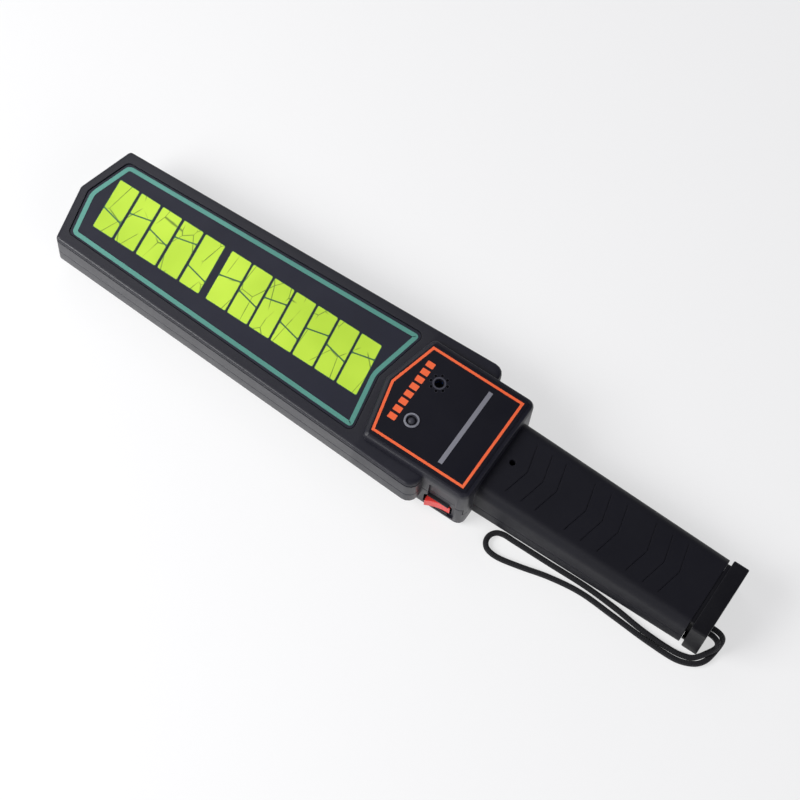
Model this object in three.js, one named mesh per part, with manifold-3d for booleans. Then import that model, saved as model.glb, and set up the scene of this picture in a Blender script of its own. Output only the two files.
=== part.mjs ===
// A hand-held security metal detector: a flat search head, a raised control box with a lamp,
// a trimmer and a side switch, and a handle that holds a block battery behind a sliding end cap.
// Millimetres, +Z up. The wand lies on its back along X, with its tip towards -X.
import * as THREE from "three";
import { mergeVertices } from "three/addons/utils/BufferGeometryUtils.js";
import Module from "manifold-3d";

const wasm = await Module();
wasm.setup();

// Driving sizes of the whole wand. Lengths along X are measured from the tip of the head.
const wall = 2.2;
const fitGap = 0.3;
const glueGap = 0.1;
const cutOverrun = 2;
const weldDistance = 1e-4;

// Search head
const headLength = 248;
const headShoulder = 8.4;
const headTipHalfWidth = 33.2;
const headRearHalfWidth = 42.7;
const headBottom = 10.5;
const headHeight = 23.3;
const headTop = headBottom + headHeight;
const headTipRadius = 2.5;
const headRearRadius = 6;
const thumbRoom = 2.4;
const headPeakRadius = 3;
const headEdge = 1.6;
const headSeamRise = 9.5;
const headParting = headBottom + headSeamRise;
const grooveBelowTop = 2.2;
const grooveHeight = 1.2;
const grooveDepth = 0.9;

// Control box: the raised part over the rear of the head
const boxOverhang = 24;
const boxLength = 64.4;
const boxPeakRise = 8.5;
const boxRear = headLength + boxOverhang;
const boxShoulder = boxRear - boxLength;
const boxPeak = boxShoulder - boxPeakRise;
const boxHalfWidth = 34;
const boxRise = 4.1;
const boxTop = headTop + boxRise;
const boxCornerRadius = 4.5;
const boxFrontRadius = 3.5;
const boxEdge = 2.5;
const rampLength = 22;
const rampSetback = 1.6;
const rampEnd = boxShoulder - rampSetback;
const rampStart = rampEnd - rampLength;

// Handle: it tapers from the box to the end cap
const handleLength = 127;
const handleEnd = boxRear + handleLength;
const handleBoxHalfWidth = 24.2;
const handleEndHalfWidth = 22.8;
const handleStep = 4.9;
const handleFall = 4.2;
const handleBoxTop = boxTop - handleStep;
const handleEndTop = handleBoxTop - handleFall;
const handleBottom = 0.8;
const handleTopRadius = 6;
const handleBottomRadius = 6;
const handleParting = 14;

// Printed plates
const headLabelSideMargin = 6.9;
const headLabelFront = 5.3;
const headLabelShoulder = 4;
const headLabelGap = 6.2;
const headLabelRear = boxShoulder - headLabelGap;
const headLabelNotch = 6.5;
const headLabelThickness = 0.5;
const headLabelSink = 0.6;
const headLabelTop = headTop - headLabelSink;
const headLabelRadius = 3;
const recessMargin = 0.5;
const panelInset = 2.9;
const panelThickness = 0.4;

// Battery, a 9 V block
const batteryLength = 48.5;
const batteryWidth = 26.5;
const batteryHeight = 17.5;
const batteryEdge = 1.5;

// End cap and the rail that it slides on
const capGap = 2;
const capLength = 9;
const capFront = handleEnd + capGap;
const overallLength = capFront + capLength;
const capNarrowing = 0.6;
const capHalfWidth = handleEndHalfWidth - capNarrowing;
const capRise = 0.4;
const capHeight = handleEndTop + capRise;
const capCornerRadius = 1.2;
const capEdge = 0.6;
const capNotch = 3.3;
const lipThickness = 1.85;
const railHalfWidth = 15.7;
const flangeThickness = 1.5;
const flangeOverhang = 1.5;
const neckWall = 1.5;

// Wrist strap
const strapDiameter = 3.1;
const strapPitch = 3.4;
const strapExitY = -11.7;
const strapExitZ = 14;

// Colours from the photograph
const looks = {
  casing: { color: 0x24242c, roughness: 0.55, metalness: 0 },
  headPlate: { color: 0x2c2c36, roughness: 0.45, metalness: 0 },
  panelPlate: { color: 0x1c1c24, roughness: 0.4, metalness: 0 },
  greyPlastic: { color: 0x8a8a90, roughness: 0.4, metalness: 0 },
  lamp: { color: 0x55565e, roughness: 0.2, metalness: 0 },
  red: { color: 0xf0433f, roughness: 0.4, metalness: 0 },
  black: { color: 0x16161a, roughness: 0.6, metalness: 0 },
  blue: { color: 0x2a5bb0, roughness: 0.5, metalness: 0 },
  white: { color: 0xdcdcd6, roughness: 0.5, metalness: 0 },
  board: { color: 0x1f6b3a, roughness: 0.5, metalness: 0 },
  copper: { color: 0xb06a35, roughness: 0.35, metalness: 0.9 },
  steel: { color: 0x9c9ca2, roughness: 0.35, metalness: 1 },
  brass: { color: 0xc8a04a, roughness: 0.35, metalness: 1 },
  cord: { color: 0x15151a, roughness: 0.9, metalness: 0 },
};

// Solids, outlines and placing

function solidOf(geometry) {
  const bare = geometry.clone();
  bare.deleteAttribute("normal");
  bare.deleteAttribute("uv");
  const merged = mergeVertices(bare, weldDistance);
  const mesh = new wasm.Mesh({
    numProp: 3,
    vertProperties: merged.attributes.position.array,
    triVerts: new Uint32Array(merged.index.array),
  });
  return new wasm.Manifold(mesh);
}

function geometryOf(solid) {
  const mesh = solid.getMesh();
  const geometry = new THREE.BufferGeometry();
  geometry.setAttribute("position", new THREE.BufferAttribute(mesh.vertProperties, 3));
  geometry.setIndex(new THREE.BufferAttribute(mesh.triVerts, 1));
  const flat = geometry.toNonIndexed();
  flat.computeVertexNormals();
  return flat;
}

function join(...solids) {
  return solids.reduce((sum, next) => sum.add(next));
}

function cut(solid, ...tools) {
  return tools.reduce((rest, tool) => rest.subtract(tool), solid);
}

// Corners are [x, y, radius], counterclockwise. Each is replaced by an arc of its radius.
function outline(corners, arcSteps = 4) {
  const points = [];
  corners.forEach(([x, y, radius = 0], i) => {
    const here = new THREE.Vector2(x, y);
    if (radius === 0) {
      points.push(here);
      return;
    }
    const before = corners.at(i - 1);
    const after = corners[(i + 1) % corners.length];
    const toBefore = new THREE.Vector2(before[0] - x, before[1] - y).normalize();
    const toAfter = new THREE.Vector2(after[0] - x, after[1] - y).normalize();
    const halfAngle = Math.acos(toBefore.dot(toAfter)) / 2;
    const reach = radius / Math.tan(halfAngle);
    const middle = toBefore.clone().add(toAfter).setLength(radius / Math.sin(halfAngle));
    const centre = here.clone().add(middle);
    const start = here.clone().addScaledVector(toBefore, reach).sub(centre).angle();
    const end = here.clone().addScaledVector(toAfter, reach).sub(centre).angle();
    const turn = Math.atan2(Math.sin(end - start), Math.cos(end - start));
    for (let k = 0; k <= arcSteps; k++) {
      const angle = start + (turn * k) / arcSteps;
      const onArc = new THREE.Vector2(Math.cos(angle), Math.sin(angle)).multiplyScalar(radius);
      points.push(onArc.add(centre));
    }
  });
  return points;
}

// Moves each side of a counterclockwise outline of corners inwards.
function inset(corners, distance) {
  const count = corners.length;
  return corners.map(([x, y, radius = 0], i) => {
    const before = corners[(i + count - 1) % count];
    const after = corners[(i + 1) % count];
    const sideIn = new THREE.Vector2(before[1] - y, x - before[0]).normalize();
    const sideOut = new THREE.Vector2(y - after[1], after[0] - x).normalize();
    const shift = sideIn.clone().add(sideOut).multiplyScalar(distance / (1 + sideIn.dot(sideOut)));
    return [x + shift.x, y + shift.y, Math.max(radius - distance, 0)];
  });
}

// A mirror-symmetric outline from the half with positive y, listed from the rear to the front.
function mirrored(half) {
  const other = half.filter(([, y]) => y !== 0).map(([x, y, radius]) => [x, -y, radius]);
  return [...half, ...other.reverse()];
}

// An upright prism between two heights, with rounded top and bottom edges if asked.
function prism(points, low, high, edge = 0, edgeSteps = 2) {
  const geometry = new THREE.ExtrudeGeometry(new THREE.Shape(points), {
    depth: high - low - 2 * edge,
    bevelEnabled: edge > 0,
    bevelThickness: edge,
    bevelSize: edge,
    bevelOffset: -edge,
    bevelSegments: edgeSteps,
  });
  geometry.translate(0, 0, low + edge);
  return solidOf(geometry);
}

// A prism along X, from an outline in Y and Z.
function prismAlongX(points, low, high, edge = 0) {
  const turned = new THREE.Matrix4().makeBasis(
    new THREE.Vector3(0, 1, 0),
    new THREE.Vector3(0, 0, 1),
    new THREE.Vector3(1, 0, 0),
  );
  return prism(points, low, high, edge).transform(turned.elements);
}

// A prism along Y, from an outline in X and Z. It lies between -halfWidth and +halfWidth.
function prismAlongY(points, halfWidth, edge = 0) {
  const turned = new THREE.Matrix4().makeRotationX(Math.PI / 2);
  return prism(points, -halfWidth, halfWidth, edge).transform(turned.elements);
}

function box(x0, x1, y0, y1, z0, z1) {
  const geometry = new THREE.BoxGeometry(x1 - x0, y1 - y0, z1 - z0);
  geometry.translate((x0 + x1) / 2, (y0 + y1) / 2, (z0 + z1) / 2);
  return solidOf(geometry);
}

// An upright cylinder at (x, y).
function post(x, y, radius, z0, z1, sides = 16) {
  const geometry = new THREE.CylinderGeometry(radius, radius, z1 - z0, sides);
  geometry.rotateX(Math.PI / 2);
  geometry.translate(x, y, (z0 + z1) / 2);
  return solidOf(geometry);
}

// A cylinder along X at (y, z).
function rod(y, z, radius, x0, x1, sides = 16) {
  const geometry = new THREE.CylinderGeometry(radius, radius, x1 - x0, sides);
  geometry.rotateZ(Math.PI / 2);
  geometry.translate((x0 + x1) / 2, y, z);
  return solidOf(geometry);
}

// A body of revolution about the upright axis at (x, y), from [radius, z] points that close.
function turnedPiece(x, y, profile, sides = 24) {
  const points = profile.map(([radius, z]) => new THREE.Vector2(radius, z));
  const geometry = new THREE.LatheGeometry(points, sides);
  geometry.rotateX(Math.PI / 2);
  geometry.translate(x, y, 0);
  return solidOf(geometry);
}

// A tube along a smooth curve through points.
function tube(points, diameter, sides, stepLength) {
  const curve = new THREE.CatmullRomCurve3(
    points.map(([x, y, z]) => new THREE.Vector3(x, y, z)),
    false,
    "centripetal",
  );
  const ring = [];
  for (let i = 0; i < sides; i++) {
    const angle = (2 * Math.PI * i) / sides;
    ring.push(new THREE.Vector2(Math.cos(angle), Math.sin(angle)).multiplyScalar(diameter / 2));
  }
  return new THREE.ExtrudeGeometry(new THREE.Shape(ring), {
    steps: Math.round(curve.getLength() / stepLength),
    bevelEnabled: false,
    extrudePath: curve,
  });
}

// A solid skinned over rings of as many points each, closed by a flat face at both ends.
function skin(rings) {
  const count = rings[0].length;
  const positions = rings.flat().flatMap((point) => point.toArray());
  const faces = [];
  for (let r = 0; r + 1 < rings.length; r++) {
    for (let i = 0; i < count; i++) {
      const a = r * count + i;
      const b = r * count + ((i + 1) % count);
      faces.push(a, b, b + count, a, b + count, a + count);
    }
  }
  const last = (rings.length - 1) * count;
  for (let i = 1; i + 1 < count; i++) {
    faces.push(0, i + 1, i, last, last + i, last + i + 1);
  }
  const geometry = new THREE.BufferGeometry();
  geometry.setAttribute("position", new THREE.Float32BufferAttribute(positions, 3));
  geometry.setIndex(faces);
  return solidOf(geometry);
}

const root = new THREE.Group();
const wand = new THREE.Group();
wand.position.x = -overallLength / 2;
root.add(wand);

function add(name, shape, look, parent = wand) {
  const geometry = shape.isBufferGeometry ? shape : geometryOf(shape);
  const mesh = new THREE.Mesh(geometry, new THREE.MeshStandardMaterial(looks[look]));
  mesh.name = name;
  parent.add(mesh);
  return mesh;
}

// Casing: the outer form of head, box and handle, and the same form drawn in for the hollow

// Rounding the peak takes a little off it, so its corner lies that much ahead of the tip.
const headPeakRise = headPeakRadius * (Math.hypot(headShoulder, headTipHalfWidth) / headTipHalfWidth - 1);
const headCorners = mirrored([
  [headLength, headRearHalfWidth, headRearRadius],
  [headShoulder, headTipHalfWidth, headTipRadius],
  [-headPeakRise, 0, headPeakRadius],
]);
// The rear corner beside the switch stands back, so that a thumb can reach past it.
headCorners.at(-1)[0] -= thumbRoom;
const boxCorners = mirrored([
  [boxRear, boxHalfWidth, boxCornerRadius],
  [boxShoulder, boxHalfWidth, boxFrontRadius],
  [boxPeak, 0, boxFrontRadius],
]);

function headForm(drawnIn) {
  const edge = drawnIn === 0 ? headEdge : 0;
  return prism(outline(inset(headCorners, drawnIn)), headBottom + drawnIn, headTop - drawnIn, edge);
}

// The space below the ramp that leads from the underside of the head to that of the box.
function belowRamp(drawnIn) {
  const slope = Math.atan2(headBottom, rampEnd - rampStart);
  const lift = drawnIn / Math.cos(slope);
  const backwards = (lift - drawnIn) / Math.tan(slope);
  const points = [
    new THREE.Vector2(rampStart, -cutOverrun),
    new THREE.Vector2(rampEnd + backwards, -cutOverrun),
    new THREE.Vector2(rampEnd + backwards, drawnIn),
    new THREE.Vector2(rampStart, headBottom + lift),
  ];
  return prismAlongY(points, boxHalfWidth + cutOverrun);
}

function boxForm(drawnIn) {
  const edge = drawnIn === 0 ? boxEdge : 0;
  const block = prism(outline(inset(boxCorners, drawnIn)), drawnIn, boxTop - drawnIn, edge);
  const chinCorners = mirrored([
    [boxShoulder + boxCornerRadius, boxHalfWidth],
    [rampStart, boxHalfWidth],
  ]);
  const chinTop = headBottom + wall + cutOverrun;
  const chin = prism(outline(inset(chinCorners, drawnIn)), drawnIn, chinTop, edge);
  return cut(join(block, chin), belowRamp(drawnIn));
}

function handleShare(x) {
  return (x - boxRear) / (handleEnd - boxRear);
}

function handleTopAt(x) {
  return THREE.MathUtils.lerp(handleBoxTop, handleEndTop, handleShare(x));
}

function handleRing(x, drawnIn) {
  const halfWidth = THREE.MathUtils.lerp(handleBoxHalfWidth, handleEndHalfWidth, handleShare(x));
  const top = handleTopAt(x);
  const corners = [
    [-halfWidth, handleBottom, handleBottomRadius],
    [halfWidth, handleBottom, handleBottomRadius],
    [halfWidth, top, handleTopRadius],
    [-halfWidth, top, handleTopRadius],
  ];
  return outline(inset(corners, drawnIn)).map((p) => new THREE.Vector3(x, p.x, p.y));
}

function handleForm(drawnIn) {
  const front = boxRear - boxCornerRadius - wall;
  return skin([handleRing(front, drawnIn), handleRing(handleEnd - drawnIn, drawnIn)]);
}

function casingForm(drawnIn) {
  return join(headForm(drawnIn), boxForm(drawnIn), handleForm(drawnIn));
}

// Everything above or below the seam between the two shells, which steps down behind the box.
function aboveSeam(shift) {
  const step = boxRear - wall / 2;
  const top = boxTop + cutOverrun;
  const rear = overallLength + cutOverrun;
  const points = [
    new THREE.Vector2(-cutOverrun, headParting + shift),
    new THREE.Vector2(step + shift, headParting + shift),
    new THREE.Vector2(step + shift, handleParting + shift),
    new THREE.Vector2(rear, handleParting + shift),
    new THREE.Vector2(rear, top),
    new THREE.Vector2(-cutOverrun, top),
  ];
  return prismAlongY(points.reverse(), headRearHalfWidth + cutOverrun);
}

// Battery compartment, and the rail around its mouth
const batteryPad = 2;
const batteryBottom = handleBottom + wall + fitGap + batteryPad;
const batteryTop = batteryBottom + batteryHeight;
const batteryMiddle = (batteryBottom + batteryTop) / 2;
const flangeFront = capFront + fitGap;
const flangeRear = flangeFront + flangeThickness;
const batteryRear = flangeRear - 2 * fitGap;
const batteryFront = batteryRear - batteryLength;
const mouthHalfWidth = batteryWidth / 2 + 2 * fitGap;
const mouthBottom = batteryBottom - fitGap;
const mouthTop = batteryTop + fitGap;
const neckBottom = mouthBottom - neckWall;
const neckTop = mouthTop + neckWall;
const flangeBottom = neckBottom - flangeOverhang;
const flangeTop = neckTop + flangeOverhang;

const neck = box(handleEnd - wall, flangeRear, -railHalfWidth, railHalfWidth, neckBottom, neckTop);
const flange = box(flangeFront, flangeRear, -railHalfWidth, railHalfWidth, flangeBottom, flangeTop);
const mouth = box(
  handleEnd - wall - cutOverrun,
  flangeRear + cutOverrun,
  -mouthHalfWidth,
  mouthHalfWidth,
  mouthBottom,
  mouthTop,
);

// Screws that hold the shells together, entered from below, and one from above
const caseScrewHeadRadius = 2.6;
const caseScrewHeadHeight = 1.6;
const caseScrewRadius = 1.2;
const caseScrewLength = 12;
const caseBossRadius = 4;
const counterbore = 2.4;
const frontScrewInset = 37.6;
const middleScrewLead = 49.1;
const sideScrewInset = { fromRear: 12, fromSide: 5.7 };
const gripScrewLead = 15.7;
const gripScrewX = batteryFront - gripScrewLead;
const sideScrewX = headLength - sideScrewInset.fromRear;
const sideScrewY = headRearHalfWidth - sideScrewInset.fromSide;
const headScrewPlaces = [
  { x: headShoulder + frontScrewInset, y: 0 },
  { x: boxPeak - middleScrewLead, y: 0 },
  { x: sideScrewX, y: sideScrewY },
  { x: sideScrewX, y: -sideScrewY },
].map((place) => ({ ...place, bottom: headBottom, parting: headParting, ceiling: headTop - wall / 2 }));
const gripScrewPlace = {
  x: gripScrewX,
  y: 0,
  bottom: handleBottom,
  parting: handleParting,
  ceiling: handleTopAt(gripScrewX) - wall / 2,
};
const caseScrewPlaces = [...headScrewPlaces, gripScrewPlace];
const topScrewFromBox = 7;
const topScrewSeatRise = 6;
const topScrew = {
  x: boxRear + topScrewFromBox,
  y: 0,
  holeRadius: 1.7,
  headRadius: 1.4,
  headHeight: 1.2,
  radius: 0.8,
  length: 10,
  seat: handleParting + topScrewSeatRise,
};

function caseScrewSeat(place) {
  return place.bottom + counterbore + caseScrewHeadHeight;
}

// Seats, ribs and cradles inside the lower shell
const floorTop = handleBottom + wall;
const sounderFromRear = 36;
const sounder = {
  x: boxRear - sounderFromRear,
  y: 0,
  radius: 12,
  height: 8.5,
  ringWall: 1.2,
  ringHeight: 3.5,
};
const soundSlot = { count: 5, pitch: 3.6, width: 1.6, length: 15 };
const motorFromBox = 19;
const motor = {
  y: 8,
  radius: 5,
  front: boxRear + motorFromBox,
  length: 14,
  shaftRadius: 0.75,
  shaftLength: 5,
};
const saddleThickness = 1.5;
const ribThickness = 1.2;
const motorAxisHeight = floorTop + motor.radius + ribThickness;

function lowerFittings() {
  const pieces = [];
  caseScrewPlaces.forEach((place) => {
    const bossTop = place.parting - fitGap / 2;
    pieces.push(post(place.x, place.y, caseBossRadius, place.bottom + headEdge, bossTop));
  });
  const topBossHeight = handleParting - fitGap / 2;
  pieces.push(post(topScrew.x, topScrew.y, caseBossRadius, floorTop - glueGap, topBossHeight));
  const ringRadius = sounder.radius + fitGap;
  const ringTop = wall + sounder.ringHeight;
  const ring = post(sounder.x, sounder.y, ringRadius + sounder.ringWall, wall / 2, ringTop, 24);
  pieces.push(cut(ring, post(sounder.x, sounder.y, ringRadius, wall, ringTop + cutOverrun, 24)));
  [motor.front + saddleThickness, motor.front + motor.length - 2 * saddleThickness].forEach((x) => {
    const reach = motor.radius + saddleThickness;
    const saddle = box(
      x,
      x + saddleThickness,
      motor.y - reach,
      motor.y + reach,
      floorTop - glueGap,
      motorAxisHeight,
    );
    const boreEnd = x + saddleThickness + cutOverrun;
    const bore = rod(motor.y, motorAxisHeight, motor.radius + fitGap, x - cutOverrun, boreEnd);
    pieces.push(cut(saddle, bore));
  });
  const ribFront = batteryFront + 2 * ribThickness;
  const ribRear = handleEnd - wall;
  const ribInside = batteryWidth / 2 + fitGap;
  const ribTop = handleParting - fitGap;
  [-1, 1].forEach((side) => {
    const sideY = [side * ribInside, side * (ribInside + ribThickness)].sort((a, b) => a - b);
    pieces.push(box(ribFront, ribRear, ...sideY, floorTop - glueGap, ribTop));
    const padMiddle = (side * batteryWidth) / 4;
    const padTop = batteryBottom - fitGap;
    pieces.push(
      box(
        ribFront,
        ribRear,
        padMiddle - ribThickness / 2,
        padMiddle + ribThickness / 2,
        floorTop - glueGap,
        padTop,
      ),
    );
  });
  return pieces;
}

// Control box fittings: lamp, trimmer and board hang from the top of the box
const controlsInset = 16.7;
const controlsX = boxShoulder + controlsInset;
const lamp = {
  x: controlsX,
  y: -12.9,
  ringRadius: 4.2,
  ringBore: 2.65,
  barrelRadius: 3.5,
  radius: 2.4,
};
const trimmer = {
  x: controlsX,
  y: 13,
  holeRadius: 2.5,
  body: 9.5,
  height: 4.8,
  rotorRadius: 2.8,
  rotorHeight: 1.6,
};
const boardInset = 0.4;
const boardLength = 38;
const boardFront = boxShoulder + boardInset;
const boardRear = boardFront + boardLength;
const boardSideGap = 7;
const boardHalfWidth = boxHalfWidth - boardSideGap;
const boardThickness = 1.6;
const boardHang = 10.3;
const boardTop = boxTop - boardHang;
const boardBottom = boardTop - boardThickness;
const boardScrewInset = 3.5;
const boardBossRadius = 3;
const boardScrewRadius = 0.9;
const boardScrewHeadRadius = 1.9;
const boardScrewHeadHeight = 1.3;
const boardScrewLength = 7;
const boardScrewPlaces = [];
[boardFront + 2 * boardScrewInset, boardRear - boardScrewInset].forEach((x) => {
  [-1, 1].forEach((side) => boardScrewPlaces.push({ x, y: side * (boardHalfWidth - boardScrewInset) }));
});

function upperFittings() {
  const pieces = [];
  caseScrewPlaces.forEach((place) => {
    const bossBottom = place.parting + fitGap / 2;
    pieces.push(post(place.x, place.y, caseBossRadius - fitGap, bossBottom, place.ceiling));
  });
  const topBossBottom = handleParting + fitGap / 2;
  const topBossTop = handleTopAt(topScrew.x) - wall / 2;
  pieces.push(post(topScrew.x, topScrew.y, caseBossRadius - fitGap, topBossBottom, topBossTop));
  boardScrewPlaces.forEach(({ x, y }) => {
    pieces.push(post(x, y, boardBossRadius, boardTop + fitGap, boxTop - wall / 2, 12));
  });
  const ribFront = batteryFront + 2 * ribThickness;
  const ribRear = handleEnd - wall;
  const ribTop = handleTopAt(ribFront) - wall + 2 * glueGap;
  [-1, 1].forEach((side) => {
    const middle = (side * batteryWidth) / 4;
    pieces.push(
      box(
        ribFront,
        ribRear,
        middle - ribThickness / 2,
        middle + ribThickness / 2,
        batteryTop + fitGap,
        ribTop,
      ),
    );
  });
  return pieces;
}

// Side switch: a rocker in an arched window of the lower shell, under a shallow bay
const rockerFromRear = 15.6;
const rockerSink = 1.4;
const rocker = {
  x: boxRear - rockerFromRear,
  y: boxHalfWidth - rockerSink,
  z: 10.1,
  halfLength: 7.2,
  height: 7,
  endRise: 2.6,
  valleyRise: 1.6,
  waist: 6.6,
  drop: 3.2,
  foot: 2.9,
  pinRadius: 0.9,
  pinLength: 0.7,
};
const rockerThrow = 15;
const windowRoom = { ends: 1.1, below: 4.9, above: 2.9, arch: 3.7 };
const switchWindow = {
  halfLength: rocker.halfLength + windowRoom.ends,
  sill: rocker.z - windowRoom.below,
  shoulder: rocker.z + windowRoom.above,
};
const bayMargin = { front: 6.2, rear: 10.2, below: 6.1, top: 7.4 };
const bay = {
  front: rocker.x - bayMargin.front,
  rear: rocker.x + bayMargin.rear,
  bottom: rocker.z - bayMargin.below,
  top: boxTop - bayMargin.top,
  depth: 1.4,
};
const lugLength = 13;
const lugThickness = 1.3;
const switchDepth = 11;
const switchWall = 0.9;

function arch() {
  const middle = rocker.x;
  const points = [
    new THREE.Vector2(middle - switchWindow.halfLength, switchWindow.sill),
    new THREE.Vector2(middle + switchWindow.halfLength, switchWindow.sill),
  ];
  const steps = 8;
  for (let k = 0; k <= steps; k++) {
    const angle = (Math.PI * k) / steps;
    points.push(
      new THREE.Vector2(
        middle + switchWindow.halfLength * Math.cos(angle),
        switchWindow.shoulder + windowRoom.arch * Math.sin(angle),
      ),
    );
  }
  return points;
}

function switchCuts() {
  const depth = wall + cutOverrun;
  const windowCut = prismAlongY(arch(), depth).translate([0, -boxHalfWidth, 0]);
  const bayCorners = [
    [bay.front, bay.bottom, bay.depth],
    [bay.rear, bay.bottom, bay.depth],
    [bay.rear, bay.top, bay.depth],
    [bay.front, bay.top, bay.depth],
  ];
  const bayCut = prismAlongY(outline(bayCorners), cutOverrun).translate([
    0,
    -boxHalfWidth + bay.depth - cutOverrun,
    0,
  ]);
  return [windowCut, bayCut];
}

// Recesses that take the printed plates
function headHalfWidth(x) {
  const share = (x - headShoulder) / (headLength - headShoulder);
  return THREE.MathUtils.lerp(headTipHalfWidth, headRearHalfWidth, share);
}

function headLabelCorners() {
  const shoulder = headShoulder + headLabelShoulder;
  const halfWidth = (x) => headHalfWidth(x) - headLabelSideMargin;
  return mirrored([
    [headLabelRear, halfWidth(headLabelRear), headLabelRadius],
    [shoulder, halfWidth(shoulder), headLabelRadius],
    [headLabelFront, 0, headLabelRadius],
  ]).concat([[headLabelRear - headLabelNotch, 0, 0]]);
}

const panelCorners = inset(boxCorners, panelInset);
const labelFloor = headLabelTop - headLabelThickness - glueGap;

// The holes for the lamp and for a screwdriver that turns the trimmer.
function controlHoles(bottom, top) {
  const low = bottom - cutOverrun;
  const high = top + cutOverrun;
  return [
    post(lamp.x, lamp.y, lamp.barrelRadius + fitGap, low, high, 20),
    post(trimmer.x, trimmer.y, trimmer.holeRadius, low, high, 20),
  ];
}

function recessCuts() {
  const floorOutline = outline(inset(headLabelCorners(), -recessMargin));
  return [prism(floorOutline, labelFloor, headTop + cutOverrun), ...controlHoles(boxTop - wall, boxTop)];
}

// The groove that runs round the head below its top edge.
function grooveCut() {
  const high = headTop - grooveBelowTop;
  const low = high - grooveHeight;
  const around = prism(outline(inset(headCorners, -cutOverrun)), low, high);
  const keptLow = low - cutOverrun;
  const keptHigh = high + cutOverrun;
  const kept = prism(outline(inset(headCorners, grooveDepth)), keptLow, keptHigh);
  const keptBox = prism(outline(boxCorners), keptLow, keptHigh);
  const keptHandle = box(headLength, overallLength, -boxHalfWidth, boxHalfWidth, keptLow, keptHigh);
  return cut(around, kept, keptBox, keptHandle);
}

// A lip stands up from the lower shell inside the seam and keeps light and dust out.
const sealThickness = 0.9;
const sealHeight = 1.5;

function sealRing(outside, low, high) {
  const ring = cut(casingForm(wall + outside), casingForm(wall + fitGap + sealThickness));
  return cut(ring, aboveSeam(high)).intersect(aboveSeam(low));
}

const hollow = casingForm(wall);
const outer = cut(join(casingForm(0), neck, flange), grooveCut());
const shell = cut(outer, hollow);

function upperShell() {
  const body = shell.intersect(aboveSeam(fitGap / 2));
  const fitted = join(body, ...upperFittings());
  const sealRoom = cut(casingForm(0), casingForm(wall + 2 * fitGap + sealThickness));
  const sealSpace = cut(sealRoom.intersect(aboveSeam(-fitGap)), aboveSeam(sealHeight + fitGap));
  const innerRoom = sealSpace.intersect(hollow);
  const pilots = caseScrewPlaces.map((place) => {
    const top = caseScrewSeat(place) + caseScrewLength + fitGap;
    return post(place.x, place.y, caseScrewRadius + fitGap, place.parting - cutOverrun, top, 12);
  });
  const boardPilotTop = boardBottom + boardScrewLength + fitGap;
  const boardPilots = boardScrewPlaces.map(({ x, y }) =>
    post(x, y, boardScrewRadius + fitGap, boardTop - cutOverrun, boardPilotTop, 10),
  );
  const topBoreEnd = handleBoxTop + cutOverrun;
  const topBore = post(topScrew.x, topScrew.y, topScrew.holeRadius, topScrew.seat, topBoreEnd, 12);
  const topPilot = post(
    topScrew.x,
    topScrew.y,
    topScrew.radius + fitGap,
    handleParting - cutOverrun,
    topScrew.seat + cutOverrun,
    10,
  );
  return cut(
    fitted,
    innerRoom,
    mouth,
    ...recessCuts(),
    ...switchCuts(),
    ...pilots,
    ...boardPilots,
    topBore,
    topPilot,
  );
}

function lowerShell() {
  const body = cut(shell, aboveSeam(-fitGap / 2));
  const lip = sealRing(fitGap, -sealHeight, sealHeight);
  const lipFoot = sealRing(-fitGap, -sealHeight, -fitGap / 2);
  const fitted = join(body, lip, lipFoot, ...lowerFittings());
  const shanks = caseScrewPlaces.map((place) => {
    const top = place.parting + cutOverrun;
    return post(place.x, place.y, caseScrewRadius + fitGap, place.bottom - cutOverrun, top, 12);
  });
  const heads = caseScrewPlaces.map((place) =>
    post(
      place.x,
      place.y,
      caseScrewHeadRadius + fitGap,
      place.bottom - cutOverrun,
      caseScrewSeat(place),
      16,
    ),
  );
  const topPilot = post(
    topScrew.x,
    topScrew.y,
    topScrew.radius + fitGap,
    floorTop + wall,
    handleParting + cutOverrun,
    10,
  );
  const slots = [];
  for (let i = 0; i < soundSlot.count; i++) {
    const x = sounder.x + (i - (soundSlot.count - 1) / 2) * soundSlot.pitch;
    slots.push(
      box(
        x - soundSlot.width / 2,
        x + soundSlot.width / 2,
        sounder.y - soundSlot.length / 2,
        sounder.y + soundSlot.length / 2,
        -cutOverrun,
        wall + cutOverrun,
      ),
    );
  }
  return cut(fitted, mouth, ...switchCuts(), ...shanks, ...heads, topPilot, ...slots);
}

add("upper_shell", upperShell(), "casing");
add("lower_shell", lowerShell(), "casing");

// Printed plates
const headLabelBottom = headLabelTop - headLabelThickness;
add("head_label", prism(outline(headLabelCorners()), headLabelBottom, headLabelTop), "headPlate");

const panelBottom = boxTop + glueGap;
const panelTop = panelBottom + panelThickness;
add(
  "panel_label",
  cut(prism(outline(panelCorners), panelBottom, panelTop), ...controlHoles(panelBottom, panelTop)),
  "panelPlate",
);

// Lamp in its ring
const ringHeight = 0.6;
const ringSlope = 0.3;
const barrelTail = 1;
const ringBottom = panelTop + glueGap;
const barrelBottom = boxTop - wall - barrelTail;
add(
  "led_bezel",
  turnedPiece(lamp.x, lamp.y, [
    [lamp.ringBore, barrelBottom],
    [lamp.barrelRadius, barrelBottom],
    [lamp.barrelRadius, ringBottom],
    [lamp.ringRadius, ringBottom],
    [lamp.ringRadius, ringBottom + ringHeight - ringSlope],
    [lamp.ringRadius - ringSlope, ringBottom + ringHeight],
    [lamp.ringBore + ringSlope, ringBottom + ringHeight],
    [lamp.ringBore, ringBottom + ringHeight - ringSlope],
    [lamp.ringBore, barrelBottom],
  ]),
  "greyPlastic",
);

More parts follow.
